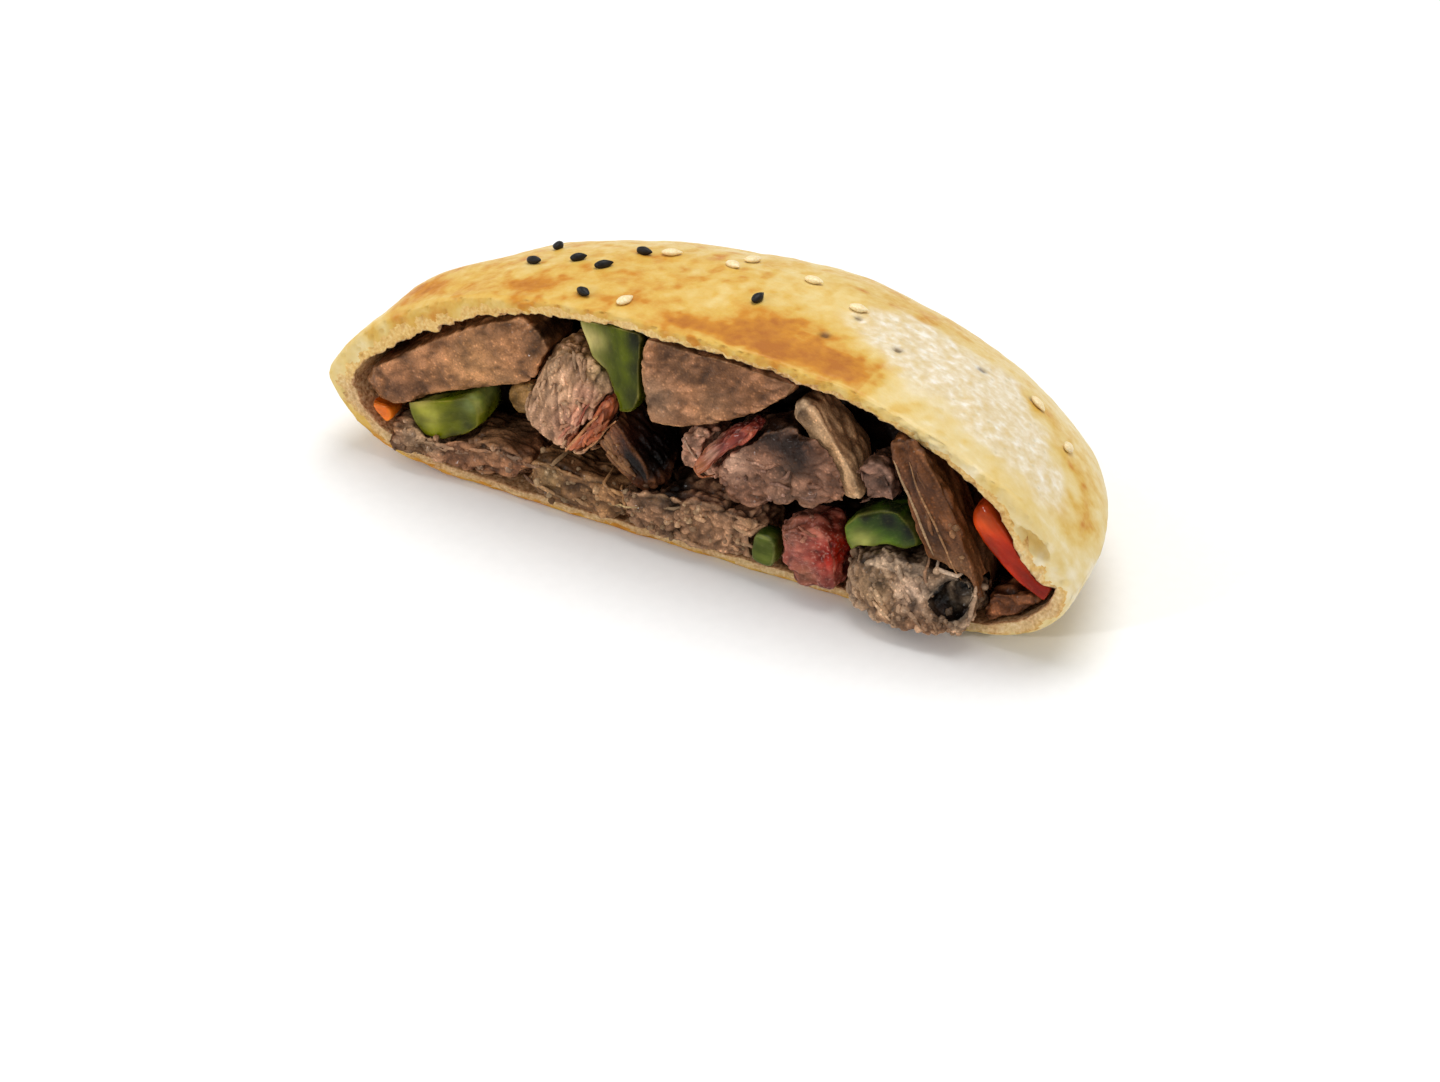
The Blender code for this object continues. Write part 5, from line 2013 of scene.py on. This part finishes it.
@dataclass(frozen=True)
class Seeds:
    """The nigella and sesame seeds on the crust."""

    nigella: SeedKind = SeedKind(
        "nigella_seeds",
        NIGELLA,
        size=(2.8 * MM, 1.5 * MM, 1.3 * MM),
        taper=0.55,
        ridge=0.07,
        shown=(
            (-0.0322, 0.0118, -11.0),
            (-0.0323, 0.0191, 100.0),
            (-0.0259, 0.0138, 45.0),
            (-0.0210, 0.0126, 45.0),
            (-0.0181, 0.0194, -6.0),
            (-0.0192, 0.0035, -25.0),
            (0.0039, 0.0131, 88.0),
        ),
        back=((-0.036, 0.038), (-0.020, 0.046), (-0.005, 0.048), (0.010, 0.049), (-0.046, 0.030)),
    )
    sesame: SeedKind = SeedKind(
        "sesame_seeds",
        SESAME,
        size=(3.0 * MM, 1.8 * MM, 1.0 * MM),
        taper=0.60,
        ridge=0.0,
        shown=(
            (-0.0126, 0.0038, 71.0),
            (-0.0145, 0.0212, 32.0),
            (-0.0045, 0.0213, -24.0),
            (-0.0034, 0.0254, 70.0),
            (0.0076, 0.0233, 3.0),
            (0.0165, 0.0200, 17.0),
            (0.0424, 0.0257, -26.0),
            (0.0491, 0.0216, 92.0),
        ),
        back=((-0.041, 0.034), (-0.027, 0.041), (-0.013, 0.046), (0.002, 0.0475), (0.018, 0.048)),
    )

    def build(self, form: PieForm) -> list[Object]:
        """Makes both kinds of seed on the pie's form."""
        return [kind.build(form) for kind in (self.nigella, self.sesame)]


# The studio


@dataclass(frozen=True)
class Studio:
    """White paper, soft lights and the camera at the photograph's angle."""

    azimuth: float = 27.5
    elevation: float = 33.0
    distance: float = 0.7
    aim: tuple[float, float, float] = (0.0, 0.003, 0.015)
    # The focal length in the photograph's pixels, and how far right and up the pie sits in it
    focal_pixels: float = 4753.0
    pixels_per_metre: float = 6790.0
    off_right: float = 50.7
    off_up: float = 157.6
    sensor_mm: float = 36.0
    clip_start: float = 0.01
    floor_half: float = 3.0
    # Square soft lights: name, place, side and power in watts
    lights: tuple = (
        ("key", (0.02, 0.14, 0.62), 0.45, 3.0),
        ("front", (-0.26, -0.66, 0.34), 0.05, 1.4),
        ("right", (0.70, -0.30, 0.25), 0.40, 0.7),
        ("left", (-0.60, -0.05, 0.30), 0.40, 0.9),
    )
    lit_place: tuple[float, float, float] = (0.0, 0.0, 0.015)
    room_light: float = 0.42

    def camera(self) -> None:
        """Sets up the camera, turned so that the pie sits where the photograph has it."""
        turn, tilt = math.radians(self.azimuth), math.radians(self.elevation)
        back = Vector(
            (math.sin(turn) * math.cos(tilt), -math.cos(turn) * math.cos(tilt), math.sin(tilt))
        )
        right = Vector((math.cos(turn), math.sin(turn), 0.0))
        aim = Vector(self.aim)
        eye = aim + back * self.distance
        target = aim - right * (self.off_right / self.pixels_per_metre)
        target -= back.cross(right) * (self.off_up / self.pixels_per_metre)
        data = bpy.data.cameras.new("camera")
        data.sensor_width = self.sensor_mm
        data.lens = self.focal_pixels / PHOTO_WIDTH * self.sensor_mm
        data.clip_start = self.clip_start
        camera = bpy.data.objects.new("camera", data)
        camera.location = eye
        camera.rotation_euler = (target - eye).to_track_quat("-Z", "Y").to_euler()
        bpy.context.scene.collection.objects.link(camera)
        bpy.context.scene.camera = camera

    def light(self, name: str, place: tuple[float, float, float], size: float, power: float) -> None:
        """Adds a square soft white light that points at the pie.

        Args:
            name: Its name.
            place: Where it stands.
            size: The side of its square.
            power: Its power in watts.
        """
        data = bpy.data.lights.new(name, "AREA")
        data.size = size
        data.energy = power
        lamp = bpy.data.objects.new(name, data)
        lamp.location = place
        away = Vector(self.lit_place) - Vector(place)
        lamp.rotation_euler = away.to_track_quat("-Z", "Y").to_euler()
        bpy.context.scene.collection.objects.link(lamp)

    def floor(self) -> None:
        """Lays the white paper under the pie, which isn't part of it."""
        bm = bmesh.new()
        bmesh.ops.create_grid(bm, x_segments=1, y_segments=1, size=self.floor_half)
        mesh = bpy.data.meshes.new("paper_floor")
        bm.to_mesh(mesh)
        bm.free()
        new_piece("paper_floor", mesh, PAPER.material())

    def build(self) -> None:
        """Sets up the camera, the floor, the lights and the white room round them."""
        self.camera()
        self.floor()
        for light in self.lights:
            self.light(*light)
        world = bpy.data.worlds.new("white_studio")
        world.use_nodes = True
        background = world.node_tree.nodes["Background"]
        background.inputs["Color"].default_value = linear("FFFFFF")
        background.inputs["Strength"].default_value = self.room_light
        bpy.context.scene.world = world
        bpy.context.scene.view_settings.view_transform = "Standard"


def main() -> None:
    """Builds the pie and its studio, in order."""
    logging.basicConfig(level=logging.INFO, format="%(name)s: %(message)s")
    form = PieForm()
    BreadCrust(form).build()
    Scraps().build(Filling().build())
    Seeds().build(form)
    Studio().build()


if __name__ == "__main__":
    main()
